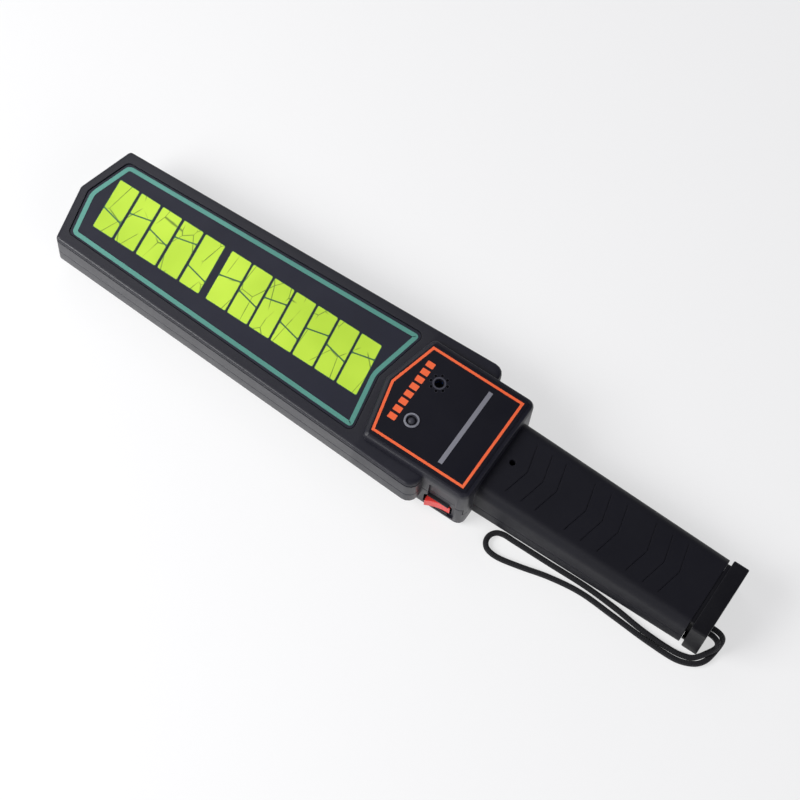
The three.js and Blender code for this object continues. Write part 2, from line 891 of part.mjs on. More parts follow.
const lampFlange = { radius: 2.9, height: 1 };
const lampLeg = { halfSpacing: 1.27, halfWidth: 0.25 };
const lampBase = barrelBottom - fitGap - lampFlange.height;
const lampShoulder = ringBottom + ringHeight - lamp.radius;
const lampProfile = [
  [0, lampBase],
  [lampFlange.radius, lampBase],
  [lampFlange.radius, lampBase + lampFlange.height],
  [lamp.radius, lampBase + lampFlange.height],
];
const domeSteps = 4;
for (let k = 0; k <= domeSteps; k++) {
  const angle = (Math.PI / 2) * (k / domeSteps);
  const radius = k === domeSteps ? 0 : lamp.radius * Math.cos(angle);
  lampProfile.push([radius, lampShoulder + lamp.radius * Math.sin(angle)]);
}
const lampLegs = [-1, 1].map((side) => {
  const x = lamp.x + side * lampLeg.halfSpacing;
  const low = boardTop + fitGap;
  const high = lampBase + lampFlange.height / 2;
  return box(
    x - lampLeg.halfWidth,
    x + lampLeg.halfWidth,
    lamp.y - lampLeg.halfWidth,
    lamp.y + lampLeg.halfWidth,
    low,
    high,
  );
});
add("alarm_led", join(turnedPiece(lamp.x, lamp.y, lampProfile, 16), ...lampLegs), "lamp");

// Sensitivity trimmer: a fixed body with a slotted screw that turns in it
const trimmerHub = { radius: 0.8, depth: 1.2 };
const trimmerSlot = { width: 0.9, depth: 0.8 };
const trimmerBase = boardTop + fitGap;
const trimmerTop = trimmerBase + trimmer.height;
const rotorBottom = trimmerTop - trimmer.rotorHeight;
const rotorTop = trimmerTop + trimmerSlot.depth;
const hubRoomBottom = rotorBottom - trimmerHub.depth - 2 * fitGap;
add(
  "sensitivity_trimmer",
  cut(
    box(
      trimmer.x - trimmer.body / 2,
      trimmer.x + trimmer.body / 2,
      trimmer.y - trimmer.body / 2,
      trimmer.y + trimmer.body / 2,
      trimmerBase,
      trimmerTop,
    ),
    post(trimmer.x, trimmer.y, trimmer.rotorRadius + fitGap, rotorBottom - fitGap, trimmerTop + cutOverrun),
    post(trimmer.x, trimmer.y, trimmerHub.radius + fitGap, hubRoomBottom, trimmerTop, 12),
  ),
  "blue",
);
const rotor = new THREE.Group();
rotor.position.set(trimmer.x, trimmer.y, rotorBottom);
wand.add(rotor);
add(
  "sensitivity_screw",
  cut(
    join(
      post(0, 0, trimmer.rotorRadius, 0, rotorTop - rotorBottom),
      post(0, 0, trimmerHub.radius, -trimmerHub.depth, trimmer.rotorHeight / 2, 12),
    ),
    box(
      -trimmerSlot.width / 2,
      trimmerSlot.width / 2,
      -trimmer.rotorRadius - cutOverrun,
      trimmer.rotorRadius + cutOverrun,
      rotorTop - rotorBottom - trimmerSlot.depth,
      rotorTop - rotorBottom + cutOverrun,
    ),
  ),
  "white",
  rotor,
);

// Circuit board and what stands on it
const boardHoles = boardScrewPlaces.map(({ x, y }) =>
  post(x, y, boardScrewRadius + fitGap, boardBottom - cutOverrun, boardTop + cutOverrun, 12),
);
add(
  "circuit_board",
  cut(box(boardFront, boardRear, -boardHalfWidth, boardHalfWidth, boardBottom, boardTop), ...boardHoles),
  "board",
);

// A block on the board, whose middle lies at x and y.
function blockOn(name, x, y, { length, width, height }, base, look) {
  add(name, box(x - length / 2, x + length / 2, y - width / 2, y + width / 2, base, base + height), look);
}

const signalChip = { inset: 25, length: 12, width: 8, height: 2.2 };
const soundChip = { inset: 6.5, length: 6, width: 9, height: 1.8 };
const coilSocket = { inset: 4, y: 3, length: 6, width: 8, height: 5.5 };
const leadSocketSideGap = 8;
const leadSocketFar = 11;
const leadSocketNear = leadSocketSideGap - boardHalfWidth;
const leadSocket = { inset: 3.3, length: 5.5, width: leadSocketFar - leadSocketNear, height: 5.5 };
const onBoard = boardTop + fitGap;
const underBoard = boardBottom - fitGap;
const coilSocketX = boardFront + coilSocket.inset;
const leadSocketX = boardRear - leadSocket.inset;
const leadSocketY = (leadSocketNear + leadSocketFar) / 2;
blockOn("signal_chip", boardFront + signalChip.inset, 0, signalChip, onBoard, "black");
blockOn("sound_chip", boardFront + soundChip.inset, 0, soundChip, onBoard, "black");
blockOn("coil_socket", coilSocketX, coilSocket.y, coilSocket, underBoard - coilSocket.height, "white");
blockOn("lead_socket", leadSocketX, leadSocketY, leadSocket, underBoard - leadSocket.height, "white");

const capacitor = { inset: 9.2, halfSpacing: 14, radius: 3.2, height: 6.5 };
[-1, 1].forEach((side, i) => {
  const x = boardRear - capacitor.inset;
  const can = post(x, side * capacitor.halfSpacing, capacitor.radius, onBoard, onBoard + capacitor.height);
  add(`capacitor_${i + 1}`, can, "blue");
});

// Search coils: two windings in the grooves of one ring-shaped carrier
const carrierPastPeak = 5.9;
const carrierRear = boxPeak + carrierPastPeak;
const carrierMargin = 2.4;
const carrierInset = wall + carrierMargin;
const carrierRadius = 6;
const carrierHeight = 5;
const carrierFloor = 1.5;
const carrierRib = 1.2;
const coilGroove = 2.4;
const coilHeight = 3;
const carrierBottom = headBottom + wall + fitGap;
const carrierCorners = mirrored([
  [carrierRear, headHalfWidth(carrierRear), 0],
  [headShoulder, headTipHalfWidth, 0],
  [0, 0, 0],
]);

function carrierBand(outside, width, low, high) {
  const rounded = (distance) => {
    const corners = inset(carrierCorners, carrierInset + distance);
    return outline(corners.map(([x, y]) => [x, y, carrierRadius]), 3);
  };
  const inside = prism(rounded(outside + width), low - cutOverrun, high + cutOverrun);
  return cut(prism(rounded(outside), low, high), inside);
}

const grooveStarts = [carrierRib, 2 * carrierRib + coilGroove];
const carrierWidth = 3 * carrierRib + 2 * coilGroove;
const grooveFloor = carrierBottom + carrierFloor;
add(
  "coil_carrier",
  cut(
    carrierBand(0, carrierWidth, carrierBottom, carrierBottom + carrierHeight),
    ...grooveStarts.map((start) =>
      carrierBand(start, coilGroove, grooveFloor, carrierBottom + carrierHeight + cutOverrun),
    ),
  ),
  "white",
);
["transmit_coil", "receive_coil"].forEach((name, i) => {
  const low = grooveFloor + fitGap;
  add(name, carrierBand(grooveStarts[i] + fitGap, coilGroove - 2 * fitGap, low, low + coilHeight), "copper");
});

// Sounder over the slots of the lower shell
const sounderBase = wall + fitGap;
const sounderTop = sounderBase + sounder.height;
const soundHole = { radius: 2, depth: 2.5 };
const soundHoleTop = sounderBase + soundHole.depth;
add(
  "sounder",
  cut(
    post(sounder.x, sounder.y, sounder.radius, sounderBase, sounderTop, 24),
    post(sounder.x, sounder.y, soundHole.radius, sounderBase - cutOverrun, soundHoleTop, 12),
  ),
  "black",
);

// Vibration motor with a half-round weight on its shaft
const shaftFront = motor.front - motor.shaftLength;
add(
  "vibration_motor",
  join(
    rod(motor.y, motorAxisHeight, motor.radius, motor.front, motor.front + motor.length),
    rod(motor.y, motorAxisHeight, motor.shaftRadius, shaftFront, motor.front + wall, 10),
  ),
  "steel",
);
const weight = { radius: 4.6, hubRadius: 1.8, length: 3, clearance: 0.2 };
const weightGroup = new THREE.Group();
weightGroup.position.set(shaftFront + fitGap, motor.y, motorAxisHeight);
wand.add(weightGroup);
add(
  "eccentric_weight",
  cut(
    join(
      cut(
        rod(0, 0, weight.radius, 0, weight.length, 20),
        box(
          -cutOverrun,
          weight.length + cutOverrun,
          -weight.radius - cutOverrun,
          weight.radius + cutOverrun,
          0,
          weight.radius + cutOverrun,
        ),
      ),
      rod(0, 0, weight.hubRadius, 0, weight.length, 12),
    ),
    rod(0, 0, motor.shaftRadius + weight.clearance, -cutOverrun, weight.length + cutOverrun, 12),
  ),
  "brass",
  weightGroup,
);

// Side switch
const rockerRoomDepth = 3.5;
const pinClearance = 0.2;
const cavityHalfLength = switchWindow.halfLength - fitGap;
const cavityHalfHeight = rocker.height / 2 + fitGap;
const housingFront = boxHalfWidth - wall - fitGap;
const housingHalfLength = cavityHalfLength + switchWall;
const housingHalfHeight = cavityHalfHeight + lugThickness - pinClearance;
const lugFront = boxHalfWidth - glueGap;
const housingBlock = box(
  rocker.x - housingHalfLength,
  rocker.x + housingHalfLength,
  -housingFront,
  -housingFront + switchDepth,
  rocker.z - housingHalfHeight,
  rocker.z + housingHalfHeight,
);
const lugs = box(
  rocker.x - lugLength / 2,
  rocker.x + lugLength / 2,
  -lugFront,
  -housingFront + switchWall,
  rocker.z - housingHalfHeight,
  rocker.z + housingHalfHeight,
);
const pinBoreReach = rocker.height / 2 + rocker.pinLength + pinClearance;
const rockerRoom = box(
  rocker.x - cavityHalfLength,
  rocker.x + cavityHalfLength,
  -lugFront - cutOverrun,
  -housingFront + rockerRoomDepth,
  rocker.z - cavityHalfHeight,
  rocker.z + cavityHalfHeight,
);
const pinBore = post(
  rocker.x,
  -rocker.y,
  rocker.pinRadius + pinClearance,
  rocker.z - pinBoreReach,
  rocker.z + pinBoreReach,
  12,
);
add("switch_housing", cut(join(housingBlock, lugs), rockerRoom, pinBore), "black");

const waistShare = 1 / 3;
const rockerProfile = [
  [-rocker.halfLength, -rocker.endRise],
  [0, -rocker.valleyRise],
  [rocker.halfLength, -rocker.endRise],
  [rocker.waist, rocker.drop * waistShare],
  [rocker.foot, rocker.drop],
  [-rocker.foot, rocker.drop],
  [-rocker.waist, rocker.drop * waistShare],
];
const pinReach = rocker.height / 2 + rocker.pinLength;
const rockerGroup = new THREE.Group();
rockerGroup.position.set(rocker.x, -rocker.y, rocker.z);
rockerGroup.rotation.z = THREE.MathUtils.degToRad(rockerThrow);
wand.add(rockerGroup);
add(
  "switch_rocker",
  join(
    prism(outline(rockerProfile), -rocker.height / 2, rocker.height / 2),
    post(0, 0, rocker.pinRadius, -pinReach, pinReach, 12),
  ),
  "red",
  rockerGroup,
);

// Battery and its clip-on connector
const stud = { halfSpacing: 6.35, height: 2.2, smallRadius: 2.9, largeRadius: 3.6 };
const studs = [
  { y: -stud.halfSpacing, radius: stud.smallRadius },
  { y: stud.halfSpacing, radius: stud.largeRadius },
];
const studFront = batteryFront - stud.height;
const batteryCorners = [
  [-batteryWidth / 2, batteryBottom, batteryEdge],
  [batteryWidth / 2, batteryBottom, batteryEdge],
  [batteryWidth / 2, batteryTop, batteryEdge],
  [-batteryWidth / 2, batteryTop, batteryEdge],
];
add(
  "battery",
  join(
    prismAlongX(outline(batteryCorners, 3), batteryFront, batteryRear, batteryEdge / 2),
    ...studs.map(({ y, radius }) => rod(y, batteryMiddle, radius, studFront, batteryFront + wall, 12)),
  ),
  "blue",
);
const snap = { halfWidth: 11.5, halfHeight: 7, back: 1.2 };
const snapRear = batteryFront - fitGap;
const snapBoreEnd = snapRear + cutOverrun;
const snapBore = studFront - fitGap;
const snapFront = snapBore - snap.back;
add(
  "battery_snap",
  cut(
    box(
      snapFront,
      snapRear,
      -snap.halfWidth,
      snap.halfWidth,
      batteryMiddle - snap.halfHeight,
      batteryMiddle + snap.halfHeight,
    ),
    ...studs.map(({ y, radius }) => rod(y, batteryMiddle, radius + fitGap, snapBore, snapBoreEnd, 12)),
  ),
  "black",
);

// Wires inside the casing: each is clipped along its route from one piece to the next.
const wireDiameter = 1.6;
const wireSides = 6;
const wireSteps = 2.5;
const cableDiameter = 2.4;

function wire(name, points, look, diameter = wireDiameter) {
  add(name, tube(points, diameter, wireSides, wireSteps * diameter), look);
}

const socketFace = leadSocketX + leadSocket.length / 2 + fitGap;
const socketHeight = underBoard - leadSocket.height / 2;
const coilSocketFace = coilSocketX - coilSocket.length / 2 - fitGap;
const carrierFace = carrierRear - carrierInset + fitGap;
const carrierMiddle = carrierBottom + carrierHeight / 2;
const snapFace = snapFront - fitGap;
const cableBend = 1.8;

wire(
  "coil_lead",
  [
    [carrierFace, coilSocket.y, carrierMiddle],
    [carrierFace + cableBend, coilSocket.y, carrierMiddle],
    [(carrierFace + coilSocketFace) / 2, coilSocket.y, (carrierMiddle + socketHeight) / 2],
    [coilSocketFace - cableBend, coilSocket.y, socketHeight],
    [coilSocketFace, coilSocket.y, socketHeight],
  ],
  "black",
  cableDiameter,
);

// Leads from the handle lie side by side on its floor and climb alike to the socket on the board.
const wireLift = 4.5;
const wireFloor = floorTop + wireLift;
const floorLane = { first: 5.8, pitch: 3.1 };
const socketLane = { inset: 4.2, pitch: 3.6, count: 4 };
const climbShares = [
  [1, 0.1],
  [0.55, 0.42],
  [0.27, 0.87],
  [0.1, 1],
  [0, 1],
];

function floorLaneY(lane) {
  return -floorLane.first - lane * floorLane.pitch;
}

function socketLaneY(lane) {
  return leadSocketNear + socketLane.inset + (socketLane.count - 1 - lane) * socketLane.pitch;
}

function climb(lane) {
  return climbShares.map(([back, up]) => [
    THREE.MathUtils.lerp(socketFace, boxRear, back),
    THREE.MathUtils.lerp(socketLaneY(lane), floorLaneY(lane), back),
    THREE.MathUtils.lerp(wireFloor, socketHeight, up),
  ]);
}

const leadTail = 4.7;
const leadDip = 1.5;
const leadRun = 18;
const leadBendShare = 0.3;

function batteryLead(name, snapY, lane, look) {
  const laneY = floorLaneY(lane);
  const route = [
    [snapFace, snapY, batteryMiddle],
    [snapFace - leadTail, THREE.MathUtils.lerp(snapY, laneY, leadBendShare), batteryMiddle - leadDip / 2],
    [gripScrewX, laneY, wireFloor + leadDip],
    [gripScrewX - leadRun, laneY, wireFloor],
    [motor.front, laneY, wireFloor],
    ...climb(lane),
  ];
  wire(name, route, look);
}

const snapLane = { plus: 3, minus: 7 };
batteryLead("battery_lead_plus", -snapLane.plus, 1, "red");
batteryLead("battery_lead_minus", -snapLane.minus, 2, "black");

const motorRear = motor.front + motor.length;
const motorLoop = { straight: 4, reach: 6.5, middle: 3, forward: 5 };
wire(
  "motor_lead",
  [
    [motorRear + fitGap, motor.y, motorAxisHeight],
    [motorRear + motorLoop.straight, motor.y, motorAxisHeight],
    [motorRear + motorLoop.reach, motor.y / 2, motorAxisHeight],
    [motorRear + motorLoop.middle, -motor.y / 4, (motorAxisHeight + wireFloor) / 2],
    [motorRear - motorLoop.forward, floorLaneY(0), wireFloor],
    [topScrew.x + motorLoop.reach, floorLaneY(0), wireFloor],
    ...climb(0),
  ],
  "white",
);

const switchFace = -housingFront + switchDepth + fitGap;
const switchLeadTail = 2.7;
const switchLaneY = socketLaneY(3);
const switchBendShare = 0.8;
wire(
  "switch_lead",
  [
    [rocker.x, switchFace, rocker.z],
    [rocker.x, switchFace + switchLeadTail, rocker.z],
    [
      THREE.MathUtils.lerp(socketFace, rocker.x, switchBendShare),
      switchLaneY,
      (rocker.z + socketHeight) / 2,
    ],
    [socketFace + leadTail, switchLaneY, socketHeight - leadDip / 2],
    [socketFace + switchLeadTail, switchLaneY, socketHeight],
    [socketFace, switchLaneY, socketHeight],
  ],
  "white",
);

const sounderPin = { x: 6.7, y: 4 };
const sounderLeadStart = sounderTop + fitGap;
const sounderLeadEnd = underBoard - leadSocket.height - fitGap;
const sounderLeadBend = 2.7;
wire(
  "sounder_lead",
  [
    [sounder.x + sounderPin.x, sounderPin.y, sounderLeadStart],
    [sounder.x + sounderPin.x, sounderPin.y, sounderLeadStart + sounderLeadBend],
    [leadSocketX, sounderPin.y, sounderLeadEnd - sounderLeadBend],
    [leadSocketX, sounderPin.y, sounderLeadEnd],
  ],
  "black",
);

// End cap: it slides sideways on the rail and carries the wrist strap.
const channelFloor = flangeRear + fitGap;
const lipFront = capFront - lipThickness;
const lipHalfWidth = capHalfWidth - capNotch;
const lipTop = capHeight - handleBottom;
const knotRoom = { halfWidth: 5.9, halfHeight: 5.8, wall: 1.8 };
const knotRear = overallLength - knotRoom.wall;
const strapSlotGap = 0.7;
const strapSlot = {
  halfWidth: strapPitch / 2 + strapDiameter / 2 + strapSlotGap,
  halfHeight: strapDiameter / 2 + strapSlotGap,
};

function rounded(y, z, halfWidth, halfHeight, radius) {
  return outline([
    [y - halfWidth, z - halfHeight, radius],
    [y + halfWidth, z - halfHeight, radius],
    [y + halfWidth, z + halfHeight, radius],
    [y - halfWidth, z + halfHeight, radius],
  ]);
}

const cap = new THREE.Group();
wand.add(cap);
const capPlate = prismAlongX(
  rounded(0, capHeight / 2, capHalfWidth, capHeight / 2, capCornerRadius),
  capFront,
  overallLength,
  capEdge,
);
const lipRear = capFront + capEdge + glueGap;
const topLip = box(lipFront, lipRear, -lipHalfWidth, lipHalfWidth, neckTop + fitGap, lipTop);
const bottomLip = box(lipFront, lipRear, -lipHalfWidth, lipHalfWidth, handleBottom, neckBottom - fitGap);
const channel = box(
  capFront,
  channelFloor,
  -railHalfWidth - fitGap,
  capHalfWidth + cutOverrun,
  flangeBottom - fitGap,
  flangeTop + fitGap,
);
const knotPocket = box(
  channelFloor - cutOverrun,
  knotRear,
  strapExitY - knotRoom.halfWidth,
  strapExitY + knotRoom.halfWidth,
  strapExitZ - knotRoom.halfHeight,
  strapExitZ + knotRoom.halfHeight,
);
const strapHole = prismAlongX(
  rounded(strapExitY, strapExitZ, strapSlot.halfWidth, strapSlot.halfHeight, strapSlot.halfHeight - glueGap),
  knotRear - cutOverrun,
  overallLength + cutOverrun,
);
add("battery_cap", cut(join(capPlate, topLip, bottomLip), channel, knotPocket, strapHole), "casing", cap);

const knotSize = { length: 4.4, width: 8.8, height: 7.2 };
const knotShape = new THREE.SphereGeometry(1, 14, 10);
knotShape.scale(knotSize.length / 2, knotSize.width / 2, knotSize.height / 2);
const knot = add("strap_knot", geometryOf(solidOf(knotShape)), "cord", cap);
knot.position.set(knotRear - fitGap - knotSize.length / 2, strapExitY, strapExitZ);

// The strap: one cord from the knot, along the near side of the handle and back. Its points are
// measured from the outer face of the cap.
const strapSides = 8;
const strapLift = 0.05;
const strapFloor = strapDiameter / 2 + strapLift;
const strapStart = glueGap - knotRoom.wall;
const strapRoute = [
  [strapStart, strapExitY + strapPitch / 2, strapExitZ],
  [1.2, -10.0, strapExitZ],
  [4.4, -10.0, 13.2],
  [6.7, -10.3, 11.0],
  [7.6, -11.0, 7.9],
  [7.7, -12.3, 4.9],
  [7.4, -14.9, 2.5],
  [6.9, -18.2, strapFloor],
  [5.8, -22.3, strapFloor],
  [3.0, -26.2, strapFloor],
  [-1.4, -28.9, strapFloor],
  [-7.6, -30.7, strapFloor],
  [-23.5, -30.8, strapFloor],
  [-46.0, -29.4, strapFloor],
  [-66.8, -28.3, strapFloor],
  [-84.7, -30.6, strapFloor],
  [-100.7, -34.6, strapFloor],
  [-112.0, -36.9, strapFloor],
  [-116.8, -36.9, strapFloor],
  [-120.4, -35.7, strapFloor],
  [-122.7, -32.6, strapFloor],
  [-122.7, -28.8, strapFloor],
  [-120.4, -25.7, strapFloor],
  [-116.8, -24.5, strapFloor],
  [-110.5, -24.4, strapFloor],
  [-89.6, -24.2, strapFloor],
  [-65.4, -23.9, strapFloor],
  [-47.3, -25.1, strapFloor],
  [-28.0, -27.3, strapFloor],
  [-10.0, -27.5, strapFloor],
  [-5.0, -26.6, strapFloor],
  [-0.8, -25.1, 1.9],
  [2.2, -22.3, 3.0],
  [4.4, -19.2, 4.1],
  [6.0, -17.0, 5.5],
  [6.9, -15.3, 8.0],
  [6.3, -14.2, 10.8],
  [4.0, -13.6, 13.1],
  [0.9, -13.4, strapExitZ],
  [strapStart, strapExitY - strapPitch / 2, strapExitZ],
];
const strapStep = 2 * strapDiameter;
const strap = add("wrist_strap", tube(strapRoute, strapDiameter, strapSides, strapStep), "cord", cap);
strap.position.x = overallLength;

// Screws
function screw(name, x, y, seat, head, shankRadius, length, up) {
  const headEnd = seat - up * (fitGap / 2);
  const headFace = headEnd - up * head.height;
  const [headLow, headHigh] = [headEnd, headFace].sort((a, b) => a - b);
  const shankEnd = headEnd + up * length;
  const [shankLow, shankHigh] = [headEnd - (up * head.height) / 2, shankEnd].sort((a, b) => a - b);
  add(
    name,
    join(post(x, y, head.radius, headLow, headHigh), post(x, y, shankRadius, shankLow, shankHigh, 12)),
    "steel",
  );
}

const caseScrewHead = { radius: caseScrewHeadRadius, height: caseScrewHeadHeight };
caseScrewPlaces.forEach((place, i) => {
  const seat = caseScrewSeat(place);
  screw(`case_screw_${i + 1}`, place.x, place.y, seat, caseScrewHead, caseScrewRadius, caseScrewLength, 1);
});
const topScrewHead = { radius: topScrew.headRadius, height: topScrew.headHeight };
const { x: topX, y: topY, seat: topSeat } = topScrew;
screw("handle_screw", topX, topY, topSeat, topScrewHead, topScrew.radius, topScrew.length, -1);
const boardScrewHead = { radius: boardScrewHeadRadius, height: boardScrewHeadHeight };
boardScrewPlaces.forEach(({ x, y }, i) => {
  screw(`board_screw_${i + 1}`, x, y, boardBottom, boardScrewHead, boardScrewRadius, boardScrewLength, 1);
});

export default root;
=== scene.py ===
"""The looks of a hand-held metal detector wand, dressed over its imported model."""

import math

import bmesh
import bpy
from mathutils import Matrix, Vector
from mathutils.bvhtree import BVHTree


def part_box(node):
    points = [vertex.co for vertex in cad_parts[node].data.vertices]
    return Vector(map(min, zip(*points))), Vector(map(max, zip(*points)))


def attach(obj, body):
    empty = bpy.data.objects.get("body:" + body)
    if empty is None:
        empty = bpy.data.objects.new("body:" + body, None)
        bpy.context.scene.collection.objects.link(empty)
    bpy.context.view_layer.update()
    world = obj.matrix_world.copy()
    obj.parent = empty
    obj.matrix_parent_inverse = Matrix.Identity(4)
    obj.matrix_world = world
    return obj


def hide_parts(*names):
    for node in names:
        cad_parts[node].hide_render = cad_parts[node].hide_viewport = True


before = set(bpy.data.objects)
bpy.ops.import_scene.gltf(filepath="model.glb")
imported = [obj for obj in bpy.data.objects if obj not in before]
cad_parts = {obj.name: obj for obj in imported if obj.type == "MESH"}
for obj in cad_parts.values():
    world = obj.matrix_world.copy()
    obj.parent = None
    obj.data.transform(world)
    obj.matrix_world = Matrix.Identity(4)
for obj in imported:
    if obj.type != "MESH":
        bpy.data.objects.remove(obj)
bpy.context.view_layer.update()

MM = 0.001
TIP = -0.205


def at(x, y, z):
    """A place in metres, from millimetres measured back from the wand's tip."""
    return Vector((TIP + x * MM, y * MM, z * MM))


# Camera and light

CAMERA_AIM = at(211.84, -4.67, 33.2)
CAMERA_AZIMUTH = math.radians(26.71)
CAMERA_HEIGHT = math.radians(65.7)
CAMERA_ROLL = math.radians(8.0)
CAMERA_DISTANCE = 1.08641
CAMERA_NEAREST = 0.01
FOCAL_PIXELS = 2082.57
IMAGE_PIXELS = 800
SENSOR_WIDTH = 36

# The place of each light, the point that it faces, the sides of its rectangle in metres, and its watts
LIGHTS = {
    "near_key": ((-0.62, -0.62, 0.72), (-0.10, 0, 0), (0.7, 0.6), 15),
    "far_sheen": ((-0.58, 0.42, 0.95), (-0.16, 0, 0), (0.6, 0.6), 1.6),
    "fill": ((1.3, -0.6, 1.0), (0.05, 0, 0), (1.2, 1.0), 7),
}
# The studio's colour by the height that a ray points to, from the floor's level upwards
STUDIO_TONES = [
    (0.0, (1.0, 1.0, 1.0, 1)),
    (0.14, (0.8, 0.8, 0.82, 1)),
    (0.4, (0.17, 0.17, 0.21, 1)),
    (0.8, (0.06, 0.06, 0.085, 1)),
]


def place_camera():
    back = Vector((
        math.sin(CAMERA_AZIMUTH) * math.cos(CAMERA_HEIGHT),
        -math.cos(CAMERA_AZIMUTH) * math.cos(CAMERA_HEIGHT),
        math.sin(CAMERA_HEIGHT),
    ))
    side = (-back).cross(Vector((0, 0, 1))).normalized()
    up = side.cross(-back)
    rolled_side = math.cos(CAMERA_ROLL) * side + math.sin(CAMERA_ROLL) * up
    rolled_up = math.cos(CAMERA_ROLL) * up - math.sin(CAMERA_ROLL) * side
    turn = Matrix((rolled_side, rolled_up, back)).transposed().to_4x4()
    data = bpy.data.cameras.new("camera")
    data.sensor_width = SENSOR_WIDTH
    data.lens = FOCAL_PIXELS * SENSOR_WIDTH / IMAGE_PIXELS
    data.clip_start = CAMERA_NEAREST
    camera = bpy.data.objects.new("camera", data)
    camera.matrix_world = Matrix.Translation(CAMERA_AIM + back * CAMERA_DISTANCE) @ turn
    bpy.context.scene.collection.objects.link(camera)
    bpy.context.scene.camera = camera


def soft_light(name, place, aim, size, watts):
    data = bpy.data.lights.new(name, "AREA")
    data.shape = "RECTANGLE"
    data.size, data.size_y = size
    data.energy = watts
    lamp = bpy.data.objects.new(name, data)
    lamp.rotation_euler = (Vector(aim) - Vector(place)).to_track_quat("-Z", "Y").to_euler()
    lamp.location = place
    bpy.context.scene.collection.objects.link(lamp)


def surround(world):
    """A studio round the object: bright near the floor and dim overhead."""
    world.use_nodes = True
    nodes, links = world.node_tree.nodes, world.node_tree.links
    background = nodes["Background"]
    place = nodes.new("ShaderNodeTexCoord")
    axes = nodes.new("ShaderNodeSeparateXYZ")
    ramp = nodes.new("ShaderNodeValToRGB")
    for position, _ in STUDIO_TONES[1:-1]:
        ramp.color_ramp.elements.new(position)
    for element, (position, colour) in zip(ramp.color_ramp.elements, STUDIO_TONES):
        element.position, element.color = position, colour
    links.new(place.outputs["Generated"], axes.inputs[0])
    links.new(axes.outputs["Z"], ramp.inputs["Fac"])
    links.new(ramp.outputs["Color"], background.inputs["Color"])
    background.inputs["Strength"].default_value = 1.0


# Materials: sums on sockets, and one method for each kind of node that is used often


class Wire:
    """An output socket that Python's operators add Math nodes to."""

    def __init__(self, finish, socket):
        self.finish = finish
        self.socket = socket

    def __add__(self, other):
        return self.finish.sum("ADD", self, other)

    def __radd__(self, other):
        return self.finish.sum("ADD", other, self)

    def __sub__(self, other):
        return self.finish.sum("SUBTRACT", self, other)

    def __rsub__(self, other):
        return self.finish.sum("SUBTRACT", other, self)

    def __mul__(self, other):
        return self.finish.sum("MULTIPLY", self, other)

    def __pow__(self, other):
        return self.finish.sum("POWER", self, other)


class Finish:
    """A material with one Principled shader, built up node by node."""

    def __init__(self, name, **constants):
        self.material = bpy.data.materials.new(name)
        self.material.use_nodes = True
        self.tree = self.material.node_tree
        self.tree.nodes.clear()
        self.shader = self.tree.nodes.new("ShaderNodeBsdfPrincipled")
        self.output = self.tree.nodes.new("ShaderNodeOutputMaterial")
        self.tree.links.new(self.shader.outputs["BSDF"], self.output.inputs["Surface"])
        self.place = self.node("ShaderNodeTexCoord", {}, {}, "Object")
        for socket, value in constants.items():
            self.set(socket.replace("_", " ").title().replace("Ior", "IOR"), value)

    def node(self, kind, settings, sockets, output=0):
        """Adds a node, with its settings and what goes into its sockets, and returns one output."""
        made = self.tree.nodes.new(kind)
        for name, value in settings.items():
            setattr(made, name, value)
        for name, value in sockets.items():
            self.feed(made.inputs[name], value)
        return Wire(self, made.outputs[output])

    def feed(self, socket, value):
        """Links a wire to a socket, or sets the socket to a number, a colour or a vector."""
        if isinstance(value, Wire):
            self.tree.links.new(value.socket, socket)
        elif hasattr(value, "__len__") and len(socket.default_value) == 4:
            socket.default_value = (*value, 1)
        else:
            socket.default_value = value

    def set(self, name, value):
        self.feed(self.shader.inputs[name], value)

    def sum(self, operation, *values):
        return self.node("ShaderNodeMath", {"operation": operation}, dict(enumerate(values)))

    def limit(self, value, low, high):
        """Runs a value from 0 at low to 1 at high, and holds it there."""
        return self.node("ShaderNodeMapRange", {}, {"Value": value, "From Min": low, "From Max": high})

    def noise(self, scale, detail=2, roughness=0.5, vector=None):
        sockets = {"Vector": vector or self.place, "Scale": scale, "Detail": detail, "Roughness": roughness}
        return self.node("ShaderNodeTexNoise", {}, sockets)

    def blend(self, share, first, second):
        """Mixes two colours."""
        return self.node("ShaderNodeMix", {"data_type": "RGBA"}, {0: share, 6: first, 7: second}, 2)

    def axis(self, letter, vector=None):
        """One coordinate of a place."""
        return self.node("ShaderNodeSeparateXYZ", {}, {0: vector or self.place}, letter)

    def stretched(self, x, y, z):
        """Object coordinates drawn out along the axes."""
        return self.node("ShaderNodeMapping", {}, {"Vector": self.place, "Scale": (x, y, z)})

    def bump(self, height, distance):
        self.set("Normal", self.node("ShaderNodeBump", {}, {
            "Height": height, "Distance": distance, "Strength": 1.0}))


# The part of a noise that most of its values lie in
MIDDLE = (0.3, 0.7)
SRGB_BEND = 10.3


def srgb(red, green, blue):
    """A colour in steps of 255 as a screen shows it, in the values that Blender takes."""
    return tuple(step / 255 / 12.92 if step < SRGB_BEND else ((step / 255 + 0.055) / 1.055) ** 2.4
                 for step in (red, green, blue))


FLOW_SCALE = 26
FLOW_BUMP = 0.6
GLOSS_SCALE = 75
GLOSS_SPREAD = 0.12
GRAIN_SCALE = 2200
GRAIN_SPREAD = 0.1
GRAIN_DEPTH = 0.00004


def moulding_marks(finish, grain=GRAIN_SCALE):
    """What moulding leaves on a surface: flow marks, the tool's grain, and the two's uneven gloss."""
    flow = finish.noise(FLOW_SCALE, 3, 0.55)
    fine = finish.noise(grain, 2, 0.6)
    patches = finish.limit(finish.noise(GLOSS_SCALE, 4, 0.6), *MIDDLE)
    return flow, fine, (patches - 0.5) * GLOSS_SPREAD + (fine - 0.5) * GRAIN_SPREAD


